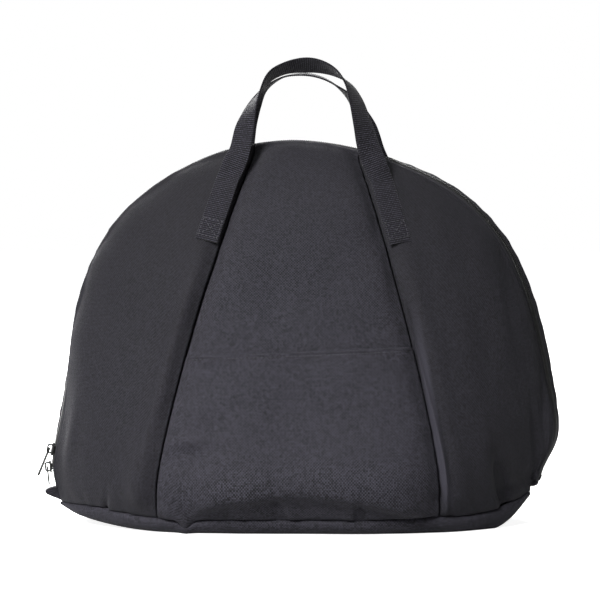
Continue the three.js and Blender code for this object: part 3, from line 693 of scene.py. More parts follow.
def woven_cloth(name, level, yarn=0.00115, contrast=1.1, checks=0.4, rubbed_and_highlit=False):
    """Plain-woven polyester: warp and weft yarns that cross over and under. Contrast is that
    between yarns, and checks is how much of it follows the weave. The yarns' crowns and the
    over-yarns are painted lighter and the gaps between yarns darker, as painted highlight and shade.
    The colour is painted darker towards the bag's top, as painted shade. With its last flag set, the
    cloth also gets a painted highlight: a pale strip along the front right seam's ridge."""
    recipe = Recipe(name)
    across, along = recipe.cloth_map()
    drift = recipe.spots(30.0, 2.0)
    u = across / yarn + drift * 0.6
    v = along / yarn + drift * 0.6
    warp_round = (u.part() * math.pi).sine()
    weft_round = (v.part() * math.pi).sine()
    over = (u.floor() + v.floor()) % 2
    warp_height = warp_round * (weft_round * 0.5 + 0.5)
    weft_height = weft_round * (warp_round * 0.5 + 0.5)
    height = weft_height + (warp_height - weft_height) * over
    yarn_place = recipe.add("ShaderNodeCombineXYZ", {}, {0: u.floor(), 1: v.floor()})
    chance = recipe.add("ShaderNodeTexWhiteNoise", {"noise_dimensions": "2D"}, {"Vector": yarn_place})
    slubs = recipe.spots(520.0, 2.0, 0.6)
    clouds = recipe.spots(9.0, 3.0, 0.55)
    dust = recipe.spots(60.0, 4.0, 0.65)
    # painted highlight and shade: the yarns' crowns (height) and the yarns lying over (checks) are
    # painted lighter, the gaps between them darker; chance and slubs are the yarns' own tone
    pattern = height * 0.35 + chance * 0.45 + (over - 0.5) * checks + (slubs - 0.5) * 1.1 - 0.42
    shade = (pattern * contrast + 0.5).clamped()
    cloth = recipe.mixed(shade, charcoal(level * 0.1), charcoal(level * 2.1))
    faded = recipe.mixed((clouds - 0.4).clamped() * 0.3, cloth, charcoal(level * 1.9))
    dusty = recipe.mixed((dust - 0.58).clamped() * 0.2, faded, grey(level * 2.4))
    up = recipe.add("ShaderNodeSeparateXYZ", {}, {0: recipe.place()}, 2)
    # painted shade: the colour is darkened from 0.12 m up towards the bag's top
    painted_top_shade = ((up - 0.12) * 3.4).clamped() * 0.9
    shown = recipe.mixed(painted_top_shade, dusty, charcoal(level * 0.35))
    if rubbed_and_highlit:
        # painted highlight: a pale strip along the front right seam's ridge
        shown = recipe.mixed(ridge_highlight_share(recipe, up), shown, charcoal(level * 2.9))
    rough = 0.8 + chance * 0.1 - height * 0.12
    normal = recipe.bumped(height + chance * 0.3 + slubs * 0.8, 0.00025, 0.8)
    return recipe.finish(
        {
            "Base Color": shown,
            "Roughness": rough,
            "Normal": normal,
            "Specular IOR Level": 0.18,
            "Sheen Weight": 0.03,
            "Sheen Roughness": 0.45,
            "Sheen Tint": (0.8, 0.8, 0.9, 1.0),
        }
    )


def ribbed_webbing(name, level):
    """Woven strap: warp bundles that run along it and pass over ribs across it."""
    recipe = Recipe(name)
    across, along = recipe.cloth_map()
    bundle = across / BUNDLE_WIDTH
    rib = along / RIB_PITCH
    over = (bundle.floor() + rib.floor()) % 2
    round_bundle = (bundle.part() * math.pi).sine()
    round_rib = (rib.part() * math.pi).sine()
    height = round_rib * (round_bundle * 0.4 + 0.6)
    place = recipe.add("ShaderNodeCombineXYZ", {}, {0: bundle.floor(), 1: rib.floor()})
    chance = recipe.add("ShaderNodeTexWhiteNoise", {"noise_dimensions": "2D"}, {"Vector": place})
    clouds = recipe.spots(25.0, 3.0)
    # painted highlight and shade: the ribs' crests and the bundles lying over are painted lighter, the
    # hollows between ribs dark
    raised = ((height - 0.5) * 2.4).clamped()
    shade = raised * (0.3 + chance * 0.55 + over * 0.15)
    colour = recipe.mixed(shade, charcoal(level * 0.15), charcoal(level * 5.0))
    faded = recipe.mixed((clouds - 0.45).clamped() * 0.2, colour, charcoal(level * 1.6))
    normal = recipe.bumped(height + over * 0.15 + chance * 0.2, 0.0003, 0.7)
    return recipe.finish(
        {
            "Base Color": faded,
            "Roughness": 0.78 + chance * 0.12,
            "Normal": normal,
            "Specular IOR Level": 0.12,
            "Sheen Weight": 0.14,
            "Sheen Roughness": 0.4,
        }
    )


def woven_tape(name, level):
    """Zip tape: a fine herringbone."""
    recipe = Recipe(name)
    across, along = recipe.cloth_map()
    chevron = ((across / CHEVRON_WIDTH).part() - 0.5).size() * 3
    ridge = ((along / CHEVRON_RIB + chevron) * (2 * math.pi)).sine() * 0.5 + 0.5
    speck = recipe.spots(900.0, 1.0)
    # painted highlight and shade: the herringbone's ridges are painted lighter and its grooves darker;
    # speck is the tape's own tone
    colour = recipe.mixed(ridge * 0.6 + speck * 0.4, charcoal(level * 0.5), charcoal(level * 1.6))
    normal = recipe.bumped(ridge + speck * 0.4, 0.00015, 0.7)
    values = {"Base Color": colour, "Roughness": 0.75 + speck * 0.1, "Normal": normal}
    values["Specular IOR Level"] = 0.35
    return recipe.finish(values)


def moulded_nylon(name, level):
    """The zip's coil: smooth dark nylon with worn patches, paler and rougher, spread at random."""
    recipe = Recipe(name)
    rubbed_and_highlit = recipe.spots(240.0, 3.0)
    colour = recipe.mixed(rubbed_and_highlit, grey(level * 0.7), grey(level * 1.5))
    normal = recipe.bumped(recipe.spots(1500.0, 2.0), 0.00005, 0.4)
    return recipe.finish({"Base Color": colour, "Roughness": 0.32 + rubbed_and_highlit * 0.2, "Normal": normal})


def black_metal(name):
    """Dark lacquered metal with fine scratches and edges that shine through."""
    recipe = Recipe(name)
    grain = recipe.spots(700.0, 4.0, 0.7)
    wear = recipe.spots(120.0, 4.0, 0.6)
    edge = recipe.add("ShaderNodeNewGeometry", {}, {}, 7)
    bare = ((edge - 0.53) * 6).clamped() * wear
    colour = recipe.mixed(bare, grey(0.014), grey(0.25))
    colour = recipe.mixed(grain * 0.3, colour, grey(0.03))
    normal = recipe.bumped(grain, 0.00004, 0.35)
    values = {"Base Color": colour, "Roughness": 0.3 + grain * 0.18, "Metallic": 0.85}
    values["Normal"] = normal
    return recipe.finish(values)


def sewing_thread(name, level):
    """Twisted polyester thread."""
    recipe = Recipe(name)
    twist = recipe.spots(2600.0, 2.0)
    colour = recipe.mixed(twist, charcoal(level * 0.6), charcoal(level * 1.5))
    normal = recipe.bumped(twist, 0.00006, 0.6)
    return recipe.finish({"Base Color": colour, "Roughness": 0.6, "Normal": normal})


panel_cloth = woven_cloth("panel_cloth", 0.0145, contrast=1.7)
# The side panels' cloth is the centre panels' cloth painted darker, as painted shade.
side_cloth_painted_shade = woven_cloth("side_cloth_painted_shade", 0.0090)
# The front right panel's cloth: painted darker like the side panels', as painted shade, and with a
# painted highlight along its seam's ridge.
ridge_cloth = woven_cloth("ridge_cloth", 0.0094, rubbed_and_highlit=True)
pocket_cloth = woven_cloth("pocket_cloth", 0.0150, yarn=0.00120, contrast=1.7, checks=0.42)
base_cloth = woven_cloth("base_cloth", 0.0165, contrast=1.4)
strap_webbing = ribbed_webbing("strap_webbing", 0.0082)
seam_tape = woven_tape("seam_tape", 0.005)
zip_tape = woven_tape("zip_tape", 0.012)
zip_coil = moulded_nylon("zip_coil", 0.006)
pull_metal = black_metal("pull_metal")
thread = sewing_thread("thread", 0.012)


# Repeated shapes


def bead_row_tree():
    """A tree that lays rounded beads along curves: stitches, or the turns of a zip's coil."""
    tree = bpy.data.node_groups.new("bead_row", "GeometryNodeTree")
    face = tree.interface
    face.new_socket(name="Geometry", in_out="INPUT", socket_type="NodeSocketGeometry")
    face.new_socket(name="Spacing", in_out="INPUT", socket_type="NodeSocketFloat")
    face.new_socket(name="Bead Size", in_out="INPUT", socket_type="NodeSocketVector")
    face.new_socket(name="Sway", in_out="INPUT", socket_type="NodeSocketFloat")
    face.new_socket(name="Material", in_out="INPUT", socket_type="NodeSocketMaterial")
    face.new_socket(name="Geometry", in_out="OUTPUT", socket_type="NodeSocketGeometry")

    def add(kind, settings, values):
        node = tree.nodes.new(kind)
        for name, setting in settings.items():
            setattr(node, name, setting)
        for name, value in values.items():
            if isinstance(value, bpy.types.NodeSocket):
                tree.links.new(value, node.inputs[name])
            else:
                node.inputs[name].default_value = value
        return node.outputs

    given = add("NodeGroupInput", {}, {})
    curve = add("GeometryNodeMeshToCurve", {}, {"Mesh": given["Geometry"]})
    spaced = {"Curve": curve[0], "Length": given["Spacing"]}
    points = add("GeometryNodeResampleCurve", {"mode": "LENGTH"}, spaced)
    ball = add("GeometryNodeMeshUVSphere", {}, {"Segments": 8, "Rings": 5, "Radius": 0.5})
    shaped = {"Geometry": ball["Mesh"], "Scale": given["Bead Size"]}
    bead = add("GeometryNodeTransform", {}, shaped)
    outward = add("GeometryNodeInputNamedAttribute", {"data_type": "FLOAT_VECTOR"}, {"Name": "outward"})
    run = add("GeometryNodeInputTangent", {}, {})
    upright = add("FunctionNodeAlignRotationToVector", {"axis": "Z"}, {"Vector": outward[0]})
    turned = add(
        "FunctionNodeAlignRotationToVector",
        {"axis": "X", "pivot_axis": "Z"},
        {"Rotation": upright[0], "Vector": run[0]},
    )
    index = add("GeometryNodeInputIndex", {}, {})
    odd = add("ShaderNodeMath", {"operation": "MODULO"}, {0: index[0], 1: 2.0})
    hand = add("ShaderNodeMath", {"operation": "SUBTRACT"}, {0: odd[0], 1: 0.5})
    reach = add("ShaderNodeMath", {"operation": "MULTIPLY"}, {0: hand[0], 1: given["Sway"]})
    cross = {0: outward[0], 1: run[0]}
    sideways = add("ShaderNodeVectorMath", {"operation": "CROSS_PRODUCT"}, cross)
    scaled = {0: sideways[0], "Scale": reach[0]}
    offset = add("ShaderNodeVectorMath", {"operation": "SCALE"}, scaled)
    swayed = add("GeometryNodeSetPosition", {}, {"Geometry": points[0], "Offset": offset[0]})
    laid = {"Points": swayed[0], "Instance": bead[0], "Rotation": turned[0]}
    beads = add("GeometryNodeInstanceOnPoints", {}, laid)
    real = add("GeometryNodeRealizeInstances", {}, {"Geometry": beads[0]})
    smooth = add("GeometryNodeSetShadeSmooth", {}, {"Geometry": real[0]})
    painted = {"Geometry": smooth[0], "Material": given["Material"]}
    done = add("GeometryNodeSetMaterial", {}, painted)
    add("NodeGroupOutput", {}, {"Geometry": done[0]})
    return tree


bead_row = bead_row_tree()


def beads_along(name, rows, spacing, size, sway, material):
    """Lays beads along rows, each a pair of points and outward directions, as one plain mesh."""
    points = np.concatenate([row for row, _ in rows]) + SHIFT
    outward = np.concatenate([out for _, out in rows])
    edges = []
    start = 0
    for row, _ in rows:
        steps = np.arange(start, start + len(row) - 1)
        edges.extend(zip(steps.tolist(), (steps + 1).tolist()))
        start += len(row)
    guide = bpy.data.meshes.new(name + "_guide")
    guide.from_pydata(points.tolist(), edges, [])
    layer = guide.attributes.new("outward", "FLOAT_VECTOR", "POINT")
    layer.data.foreach_set("vector", outward.astype(np.float32).ravel())
    holder = bpy.data.objects.new(name + "_guide", guide)
    bpy.context.collection.objects.link(holder)
    modifier = holder.modifiers.new("beads", "NODES")
    modifier.node_group = bead_row
    chosen = {"Spacing": spacing, "Bead Size": size, "Sway": sway, "Material": material}
    for item in bead_row.interface.items_tree:
        if item.in_out == "INPUT" and item.name in chosen:
            modifier[item.identifier] = chosen[item.name]
    bpy.context.view_layer.update()
    shown = holder.evaluated_get(bpy.context.evaluated_depsgraph_get())
    mesh = bpy.data.meshes.new_from_object(shown)
    bpy.data.objects.remove(holder)
    piece = bpy.data.objects.new(name, mesh)
    mesh.name = name
    bpy.context.collection.objects.link(piece)
    return piece


# Cloth panels

SIDE_NAMES = {FRONT: "front", BACK: "back"}


def cloth_map_of(points):
    """Places on the cloth: across from the grid's middle column, and up from its first row."""
    left, _, bottom, _ = edge_distances(points)
    middle = left.shape[1] // 2
    return np.stack([left - left[:, middle : middle + 1], bottom], axis=-1)


# Small folds of the front: place across and up, half width and half height, lean in degrees
# and height, out of the bag where it is positive.
PANEL_FOLDS = [
    (-0.157, 0.018, 0.0022, 0.014, -6, -0.0022),
    (-0.150, 0.020, 0.0050, 0.016, -6, 0.0012),
    (0.170, 0.038, 0.0050, 0.024, 12, -0.0070),
    (0.160, 0.042, 0.0070, 0.026, 12, 0.0025),
    (-0.1885, 0.072, 0.0050, 0.028, -9, 0.0022),
    (-0.1985, 0.080, 0.0050, 0.040, -9, -0.0014),
    (-0.134, 0.050, 0.0100, 0.030, -8, 0.0016),
    (-0.120, 0.150, 0.0200, 0.050, 10, -0.0010),
    (0.150, 0.170, 0.0250, 0.060, -14, -0.0012),
    (0.030, 0.195, 0.0060, 0.022, 4, -0.0008),
    (-0.020, 0.190, 0.0080, 0.026, -5, -0.0009),
]
POCKET_FOLDS = [
    (-0.012, 0.022, 0.0032, 0.014, 12, -0.0036),
    (-0.004, 0.026, 0.0050, 0.014, 12, 0.0016),
    (0.053, 0.018, 0.0028, 0.013, -6, -0.0034),
    (0.046, 0.022, 0.0050, 0.013, -6, 0.0016),
    (-0.088, 0.012, 0.0050, 0.012, 20, -0.0040),
    (-0.102, 0.018, 0.0070, 0.016, 35, 0.0016),
    (-0.045, 0.038, 0.0500, 0.010, 2, 0.0012),
    (0.060, 0.042, 0.0500, 0.010, -3, 0.0010),
    (-0.083, 0.076, 0.0240, 0.0055, 4, 0.0024),
    (-0.090, 0.062, 0.0180, 0.0075, 10, -0.0030),
    (-0.080, 0.100, 0.0300, 0.0120, 30, 0.0014),
    (0.020, 0.100, 0.0450, 0.012, -10, -0.0008),
    (0.055, 0.072, 0.0300, 0.014, 20, 0.0008),
]


def small_folds(points, rows):
    x, z = points[..., 0] + PHOTO_MIDDLE, points[..., 2]
    total = np.zeros(x.shape)
    for across, up, wide, tall, lean, height in rows:
        turn = math.radians(lean)
        right, above = x - across, z - up
        sideways = right * math.cos(turn) + above * math.sin(turn)
        upwards = above * math.cos(turn) - right * math.sin(turn)
        total += height * np.exp(-((sideways / wide) ** 2) - (upwards / tall) ** 2)
    return total


def sewn_relief(points, seed, edges, pucker=0.0005):
    """The relief that sewing gives a panel: turned edges, puckers beside them and slack."""
    left, right, bottom, top = edge_distances(points)
    height = 0
    for distance, run, radius in [
        (left, bottom, edges[0]),
        (right, bottom, edges[1]),
        (bottom, left, edges[2]),
        (top, left, edges[3]),
    ]:
        height = height - turned_edge(distance, radius)
        wave = ripples(run, distance * 0.3, PUCKER_WAVE, seed + 7)
        height = height + pucker * wave * np.exp(-distance / PUCKER_REACH)
    inside = np.minimum(np.minimum(left, right), np.minimum(bottom, top))
    slack = SLACK_HEIGHT * ripples(left, bottom * 0.6, SLACK_WAVE, seed)
    slack = slack + FINE_SLACK_HEIGHT * ripples(left, bottom * 0.6, FINE_SLACK_WAVE, seed + 3)
    return height + slack * smooth_step(0, SLACK_MARGIN, inside)


def seam_ridge(from_seam, up):
    """The right seam's doubled cloth stands up as a ridge that widens on its way down."""
    low = 1 - smooth_step(*RIDGE_WIDENS, up)
    shown = smooth_step(*RIDGE_SHOWS, up) * (1 - smooth_step(*RIDGE_ENDS, up))
    wide = lerp(*RIDGE_WIDTH, low)
    flank = -SEAM_DIP * (1 - np.clip(from_seam / wide, 0, 1))
    past = (from_seam - wide) / np.where(from_seam < wide, wide * 0.6, RIDGE_BACK)
    crest = lerp(*RIDGE_CREST, low) * np.exp(-(past**2))
    filled = RIDGE_FILL * SEAM_DIP * bump(from_seam, SEAM_DIP_WIDTH)
    return shown * (filled + flank + crest)


def panel_piece(name, start, end, side, seed, columns=100, rows=150):
    share, rise = np.meshgrid(closer_at_ends(columns), closer_at_ends(rows))
    gap = SEAM_OPEN * (1 - smooth_step(*SEAM_CLOSES, rise))
    at = lerp(start + gap * (start > LEFT_END), end - gap * (end < RIGHT_END), share)
    points = cloth_point(at, rise, side)
    normals = grid_normals(points, side)
    height = sewn_relief(points, seed, (SEAM_EDGE, SEAM_EDGE, BASE_EDGE, RIM_EDGE))
    from_seam, _, _, from_rim = edge_distances(points)
    height = height + RIM_BEAD * bump(from_rim - RIM_BEAD_IN, RIM_BEAD_IN)
    # painted shade: the side panels take the darker copy of the cloth
    cloth = panel_cloth if start == LEFT_SEAM else side_cloth_painted_shade
    if side == FRONT:
        height = height + small_folds(points, PANEL_FOLDS)
    if side == FRONT and start == RIGHT_SEAM:
        height = height + seam_ridge(from_seam, points[..., 2])
        cloth = ridge_cloth
    if side == FRONT and start == LEFT_SEAM:
        behind = 1 - smooth_step(POCKET_HEIGHT - 0.030, POCKET_HEIGHT - 0.014, points[..., 2])
        height = height - behind * BEHIND_POCKET
    outer = points + normals * height[..., None]
    inner = points - normals * (PANEL_WALL + 0.001)
    uv = cloth_map_of(cloth_point(at, rise, BACK))
    piece = wall_piece(name + "_cloth", outer, inner, uv, cloth)
    return finish_piece(piece, name)


for side in (FRONT, BACK):
    where = SIDE_NAMES[side]
    panel_piece(f"{where}_left_panel", LEFT_END, LEFT_SEAM, side, 11 + side)
    panel_piece(f"{where}_centre_panel", LEFT_SEAM, RIGHT_SEAM, side, 31 + side)
    panel_piece(f"{where}_right_panel", RIGHT_SEAM, RIGHT_END, side, 51 + side)


def seam_binding(seam, side, count=120):
    """The bound seam inside the bag, which shows as the dark bottom of the seam's valley."""
    rise = np.linspace(0.003, 0.997, count)
    middle = cloth_point(seam, rise, side)
    face = plain_normal(np.full(count, float(seam)), rise, side)
    run = unit(np.gradient(middle, axis=0))
    sideways = np.cross(run, face)
    wide = BINDING_HALF_WIDTH
    deep, shallow = BINDING_DEPTHS
    section = [(-wide, deep), (wide, deep), (wide, shallow), (-wide, shallow)]
    rings = np.stack([middle + sideways * a + face * b for a, b in section], axis=1)
    length = np.cumsum(np.linalg.norm(np.gradient(middle, axis=0), axis=1))
    across = np.array([a for a, _ in section])
    uv = np.stack(np.broadcast_arrays(across[None, :], length[:, None]), axis=-1)
    where = "left" if seam == LEFT_SEAM else "right"
    piece = loft_piece(f"{SIDE_NAMES[side]}_{where}_seam_binding", rings, uv, seam_tape)
    return finish_piece(piece, None)


for side in (FRONT, BACK):
    seam_binding(LEFT_SEAM, side)
    seam_binding(RIGHT_SEAM, side)


# Front pocket

# The crest of the slack cloth above the base, across and up
OVERHANG = [
    (-0.092, 0.012),
    (-0.075, 0.027),
    (-0.054, 0.0335),
    (-0.004, 0.0385),
    (0.030, 0.037),
    (0.063, 0.032),
    (0.089, 0.026),
    (0.112, 0.020),
]
OVERHANG_DEPTH = 0.0090
OVERHANG_LIP = 0.0075  # how fast it falls away below its crest
OVERHANG_RISE = 0.034  # and above it


def hem_rise(at):
    slant = (at - LEFT_SEAM) / (RIGHT_SEAM - LEFT_SEAM) - 0.5
    return rise_at(at, POCKET_HEIGHT + HEM_SLANT * slant, FRONT)


def pocket_surface(columns=130, rows=110):
    places = lerp(LEFT_SEAM + SEAM_OPEN, RIGHT_SEAM - SEAM_OPEN, closer_at_ends(columns))
    share = closer_at_ends(rows)[:, None]
    at = np.broadcast_to(places, (rows + 1, columns + 1))
    rise = share * hem_rise(places)
    points = cloth_point(at, rise, FRONT)
    normals = grid_normals(points, FRONT)
    _, _, _, top = edge_distances(points)
    height = POCKET_CLOTH + sewn_relief(points, 71, POCKET_EDGES, 0.0006)
    height = height + small_folds(points, POCKET_FOLDS) + overhang(points)
    height = height + HEM_DOUBLE * (1 - smooth_step(HEM_STITCH - 0.0006, HEM_STITCH + 0.0002, top))
    height = height - HEM_DOUBLE * bump(top - HEM_STITCH, 0.0008)
    return points, normals, height, cloth_map_of(cloth_point(at, rise, BACK))


def overhang(points):
    """The pocket's slack cloth hangs over in a low arch just above the base."""
    x, z = points[..., 0] + PHOTO_MIDDLE, points[..., 2]
    across, up = np.array(OVERHANG).T
    above = z - np.interp(x, across, up)
    fade = smooth_step(-0.092, -0.062, x) * (1 - smooth_step(0.085, 0.118, x))
    steep = bump(np.minimum(above, 0), OVERHANG_LIP)
    slow = bump(np.maximum(above, 0), OVERHANG_RISE)
    return OVERHANG_DEPTH * np.where(above < 0, steep, slow) * fade


pocket_points, pocket_normals, pocket_height, pocket_map = pocket_surface()
pocket_outer = pocket_points + pocket_normals * pocket_height[..., None]
pocket_inner = pocket_points + pocket_normals * 0.0003
pocket = wall_piece("front_pocket_cloth", pocket_outer, pocket_inner, pocket_map, pocket_cloth)
finish_piece(pocket, "front_pocket")


# Base


def keel_end_up(x, keel):
    start, end, height, power = keel
    share = (np.abs(x) / HALF_WIDTH - start) / (end - start)
    return height * np.maximum(0, share) ** power * BASE_SEAM_UP


def keel_up(x):
    """How far the base's underside has curved up at a place across the bag."""
    return np.where(x < 0, keel_end_up(x, KEEL_LEFT), keel_end_up(x, KEEL_RIGHT))


def base_piece(columns=220, rows=90):
    """The boat-shaped base: flat below, with a strip that turns up to its seam all round."""
    places = lerp(LEFT_END, RIGHT_END, closer_at_ends(columns, 0.3))
    at, share = np.meshgrid(places, closer_at_ends(rows, 0.85))
    span = lerp(-1, 1, share)
    plain_edge = plain_point(at, 0, BACK)
    edge = plain_edge.copy()
    edge[..., 2] -= pinch(edge[..., 0], 0) * (span < 0)
    keel = np.minimum(keel_up(edge[..., 0]), edge[..., 2] - 0.001)
    flat = BASE_FLAT_SHARE
    bend = np.clip((np.abs(span) - flat) / (1 - flat), 0, 1)
    lift = 1 - np.sqrt(1 - bend**2)
    z = lerp(keel, edge[..., 2], lift)
    outer = np.stack([edge[..., 0], span * edge[..., 1], z], axis=-1)
    down = np.array([0, 0, -1.0])
    outward = unit(lerp(down, plain_normal(at, 0, BACK), lift[..., None]))
    outward[..., 1] *= np.where(span < 0, -1, 1)
    _, _, front, back = edge_distances(outer)
    near = np.minimum(front, back)
    strip = lift * 0.0006 * ripples(outer[..., 0], outer[..., 1], 0.03, 91)
    from_end = smooth_step(0, 0.3, np.minimum(at - LEFT_END, RIGHT_END - at))
    lip = BASE_LIP * np.sin(math.pi * lift**0.8) ** 0.8 * from_end
    height = strip + lip - turned_edge(near, 0.0008)
    surface = outer + outward * height[..., None]
    surface[..., 2] = np.maximum(surface[..., 2], 0)
    thick = np.minimum(BASE_WALL, np.maximum(0.0004, (edge[..., 2] - keel) * 0.5))
    inner = outer - outward * thick[..., None]
    plain = np.stack([edge[..., 0], span * edge[..., 1], lerp(0, plain_edge[..., 2], lift)], axis=-1)
    piece = wall_piece("base_panel_cloth", surface, inner, cloth_map_of(plain), base_cloth)
    return finish_piece(piece, "base_panel")


base_piece()


# Zip


def rim_bar(name, section, node, material, count=420):
    """A bar of one section along the whole rim."""
    share = rim_share(lerp(LEFT_END, RIGHT_END, np.linspace(0, 1, count)))
    middle, across, face, _ = rim_frame(share)
    rings = np.stack([middle + across * sideways + face * out for sideways, out in section], axis=1)
    run = np.concatenate([[0], np.cumsum(np.linalg.norm(np.diff(middle, axis=0), axis=1))])
    uv_across = np.array([sideways for sideways, _ in section])
    uv = np.stack(np.broadcast_arrays(uv_across[None, :], run[:, None]), axis=-1)
    piece = loft_piece(name, rings, uv, material)
    return finish_piece(piece, node)


# Sections across the zip, as pairs of place to the back and place out of the bag
TAPE_SECTION = [
    (0.0026, -0.0004),
    (0.0078, -0.0004),
    (0.0078, 0.0004),
    (0.0076, 0.0006),
    (0.0028, 0.0006),
    (0.0026, 0.0004),
]
CORE_SECTION = [
    (-0.0024, -0.0004),
    (0.0024, -0.0004),
    (0.0022, 0.0009),
    (0.0008, 0.0011),
    (-0.0008, 0.0011),
    (-0.0022, 0.0009),
]
COIL_UP = 0.00115
COIL_TURN = (0.00085, 0.0032, 0.0012)
COIL_SWAY = 0.0022  # how far left and right turns lie apart

for side in (FRONT, BACK):
    name = f"zip_tape_{SIDE_NAMES[side]}"
    section = [(side * away, out) for away, out in TAPE_SECTION]
    rim_bar(name + "_weave", section, name, zip_tape)
rim_bar("zip_core", CORE_SECTION, "zip_chain", zip_coil)

coil_middle, _, coil_face, _ = rim_frame(np.linspace(0.002, 0.998, 1200))
coil_line = (coil_middle + coil_face * COIL_UP, coil_face)
coil = beads_along("zip_coil_turns", [coil_line], TOOTH_PITCH, COIL_TURN, COIL_SWAY, zip_coil)
finish_piece(coil, "zip_chain")


# Handles

# Shares of a strap's half width and of its thickness there
STRAP_SECTION = mirrored([(-1, 0.35), (-0.985, 0.75), (-0.93, 1), (-0.6, 1), (-0.2, 1)])
BOX_STITCH_LENGTH = 0.0165
BOX_STITCH_FROM_END = 0.002
BOX_STITCH_HALF_WIDTH = 0.0082
THREAD_UP = 0.0001  # how far a stitch stands off the strap or the cloth


def sewn_stations(seam, side):
    """Where a handle's end lies on the bag: its middle line, and the way that its face looks."""
    hand = -1 if seam == LEFT_SEAM else 1
    low = rise_at(seam, HANDLE_END_UP, side)
    high = rise_at(seam, HANDLE_LEAVES_UP, side)
    rise = lerp(low, high, np.linspace(0, 1, 6))
    seam_way = unit(plain_point(seam, rise + PROBE, side) - plain_point(seam, rise - PROBE, side))
    side_way = (plain_point(seam + hand * PROBE, rise, side) - plain_point(seam, rise, side)) / PROBE
    away = HANDLE_FROM_SEAM / np.linalg.norm(np.cross(side_way, seam_way), axis=-1)
    at = seam + hand * away
    face = plain_normal(at, rise, side)
    plain = plain_point(at, rise, side) + face * (0.0005 + WEBBING_THICKNESS / 2)
    resting = cloth_point(at, rise, side) + face * WEBBING_THICKNESS * 0.55
    lifting = smooth_step(0.5, 1, np.linspace(0, 1, 6))[:, None]
    return lerp(resting, plain, lifting), face


def handle_path(side, arch, handle_rise):
    """A handle's middle line and facing. A row of arch holds the share of the way across, those
    of the way up and out to the lean, and the turn of the face in degrees."""
    left, left_face = sewn_stations(LEFT_SEAM, side)
    right, right_face = sewn_stations(RIGHT_SEAM, side)
    right, right_face = right[::-1], right_face[::-1]
    start, end = left[-1], right[0]
    top = BAG_HEIGHT + handle_rise
    rows = np.array(arch, float)
    lift = lerp(start, end, rows[:, :1])
    free = np.stack(
        [
            lift[:, 0],
            lerp(lift[:, 1], side * HANDLE_LEAN, rows[:, 2]),
            lerp(lift[:, 2], top, rows[:, 1]),
        ],
        axis=-1,
    )
    path = np.vstack([start, free, end])
    run = unit(path[2:] - path[:-2])
    flat = unit(np.array([0, side, 0]) - run * run[:, 1:2] * side)
    outward = np.cross(run, np.array([0, -1.0, 0]))
    outward = unit(outward - flat * np.sum(outward * flat, axis=1, keepdims=True))
    away = np.stack([np.where(run[:, 2] > 0, -1, 1), np.zeros(len(run)), np.ones(len(run))], axis=-1)
    outward = outward * np.where(np.sum(outward * away, axis=1) < 0, -1, 1)[:, None]
    turn = np.radians(rows[:, 3:])
    face = flat * np.cos(turn) + outward * np.sin(turn)
    return np.vstack([left, free, right]), np.vstack([left_face, face, right_face])


def handle_piece(side, arch, handle_rise):
    """A strap with woven ribs. Gives its middle line, its ways sideways and out, and length."""
    points, faces = handle_path(side, arch, handle_rise)
    path = SmoothCurve(points)
    facing = SmoothCurve(faces, even=True)
    length = path.lengths[-1]
    count = int(length / RIB_PITCH * 4)
    share = np.linspace(0, 1, count + 1)
    step = path.step_at(share)
    middle = path.at(step)
    run = path.direction(share)
    face = facing.at(step)
    face = unit(face - run * np.sum(face * run, axis=1, keepdims=True))
    sideways = np.cross(run, face)
    rib = 0.5 + 0.5 * np.cos(2 * math.pi * share * length / RIB_PITCH)
    half = WEBBING_WIDTH / 2
    rings = []
    uv = []
    for hand, rows in [(1, STRAP_SECTION), (-1, STRAP_SECTION[::-1])]:
        for a, t in rows:
            out = hand * t * WEBBING_THICKNESS / 2 * (0.72 + 0.28 * rib * (t > 0.9))
            rings.append(middle + sideways * a * half + face * out[:, None])
            uv.append(np.stack([np.full(count + 1, a * half), share * length], axis=-1))
    rings = np.stack(rings, axis=1)
    uv = np.stack(uv, axis=1)
    name = f"{SIDE_NAMES[side]}_handle"
    piece = loft_piece(name + "_webbing", rings, uv, strap_webbing)
    finish_piece(piece, name)
    return middle, sideways, face, length


def box_stitch_rows(path, from_start):
    """A sewn square with a cross, on an end of the webbing."""
    middle, sideways, face, length = path
    count = len(middle)
    corners = [(-1, 0.1), (1, 0.1), (1, 1), (-1, 1), (-1, 0.1), (1, 1)]
    second = [(1, 0.1), (-1, 1)]
    rows = []
    for outline in (corners, second):
        row = []
        for (a0, s0), (a1, s1) in zip(outline[:-1], outline[1:]):
            for share in np.linspace(0, 1, 14):
                a, s = lerp(a0, a1, share), lerp(s0, s1, share)
                place = BOX_STITCH_FROM_END + s * BOX_STITCH_LENGTH
                index = place / length * (count - 1)
                index = int(round(index if from_start else count - 1 - index))
                lift = face[index] * (WEBBING_THICKNESS / 2 + THREAD_UP)
                row.append(middle[index] + sideways[index] * a * BOX_STITCH_HALF_WIDTH + lift)
        outward = face[[0 if from_start else count - 1]]
        rows.append((np.array(row), np.repeat(outward, len(row), axis=0)))
    return rows


stitch_rows = []
for side, arch, handle_rise in [
    (FRONT, FRONT_ARCH, FRONT_HANDLE_RISE),
    (BACK, BACK_ARCH, BACK_HANDLE_RISE),
]:
    handle = handle_piece(side, arch, handle_rise)
    stitch_rows += box_stitch_rows(handle, True)
    stitch_rows += box_stitch_rows(handle, False)


# Stitches

_, _, _, from_hem = edge_distances(pocket_points)
hem_row = int(np.argmin(np.abs(from_hem[:, from_hem.shape[1] // 2] - HEM_STITCH)))
hem_points = pocket_outer[hem_row] + pocket_normals[hem_row] * THREAD_UP
stitch_rows.append((hem_points[3:-3], pocket_normals[hem_row][3:-3]))
stitch = (STITCH_LENGTH, THREAD_WIDTH, THREAD_HEIGHT)
stitches = beads_along("stitches", stitch_rows, STITCH_PITCH, stitch, 0.0, thread)
finish_piece(stitches, None)


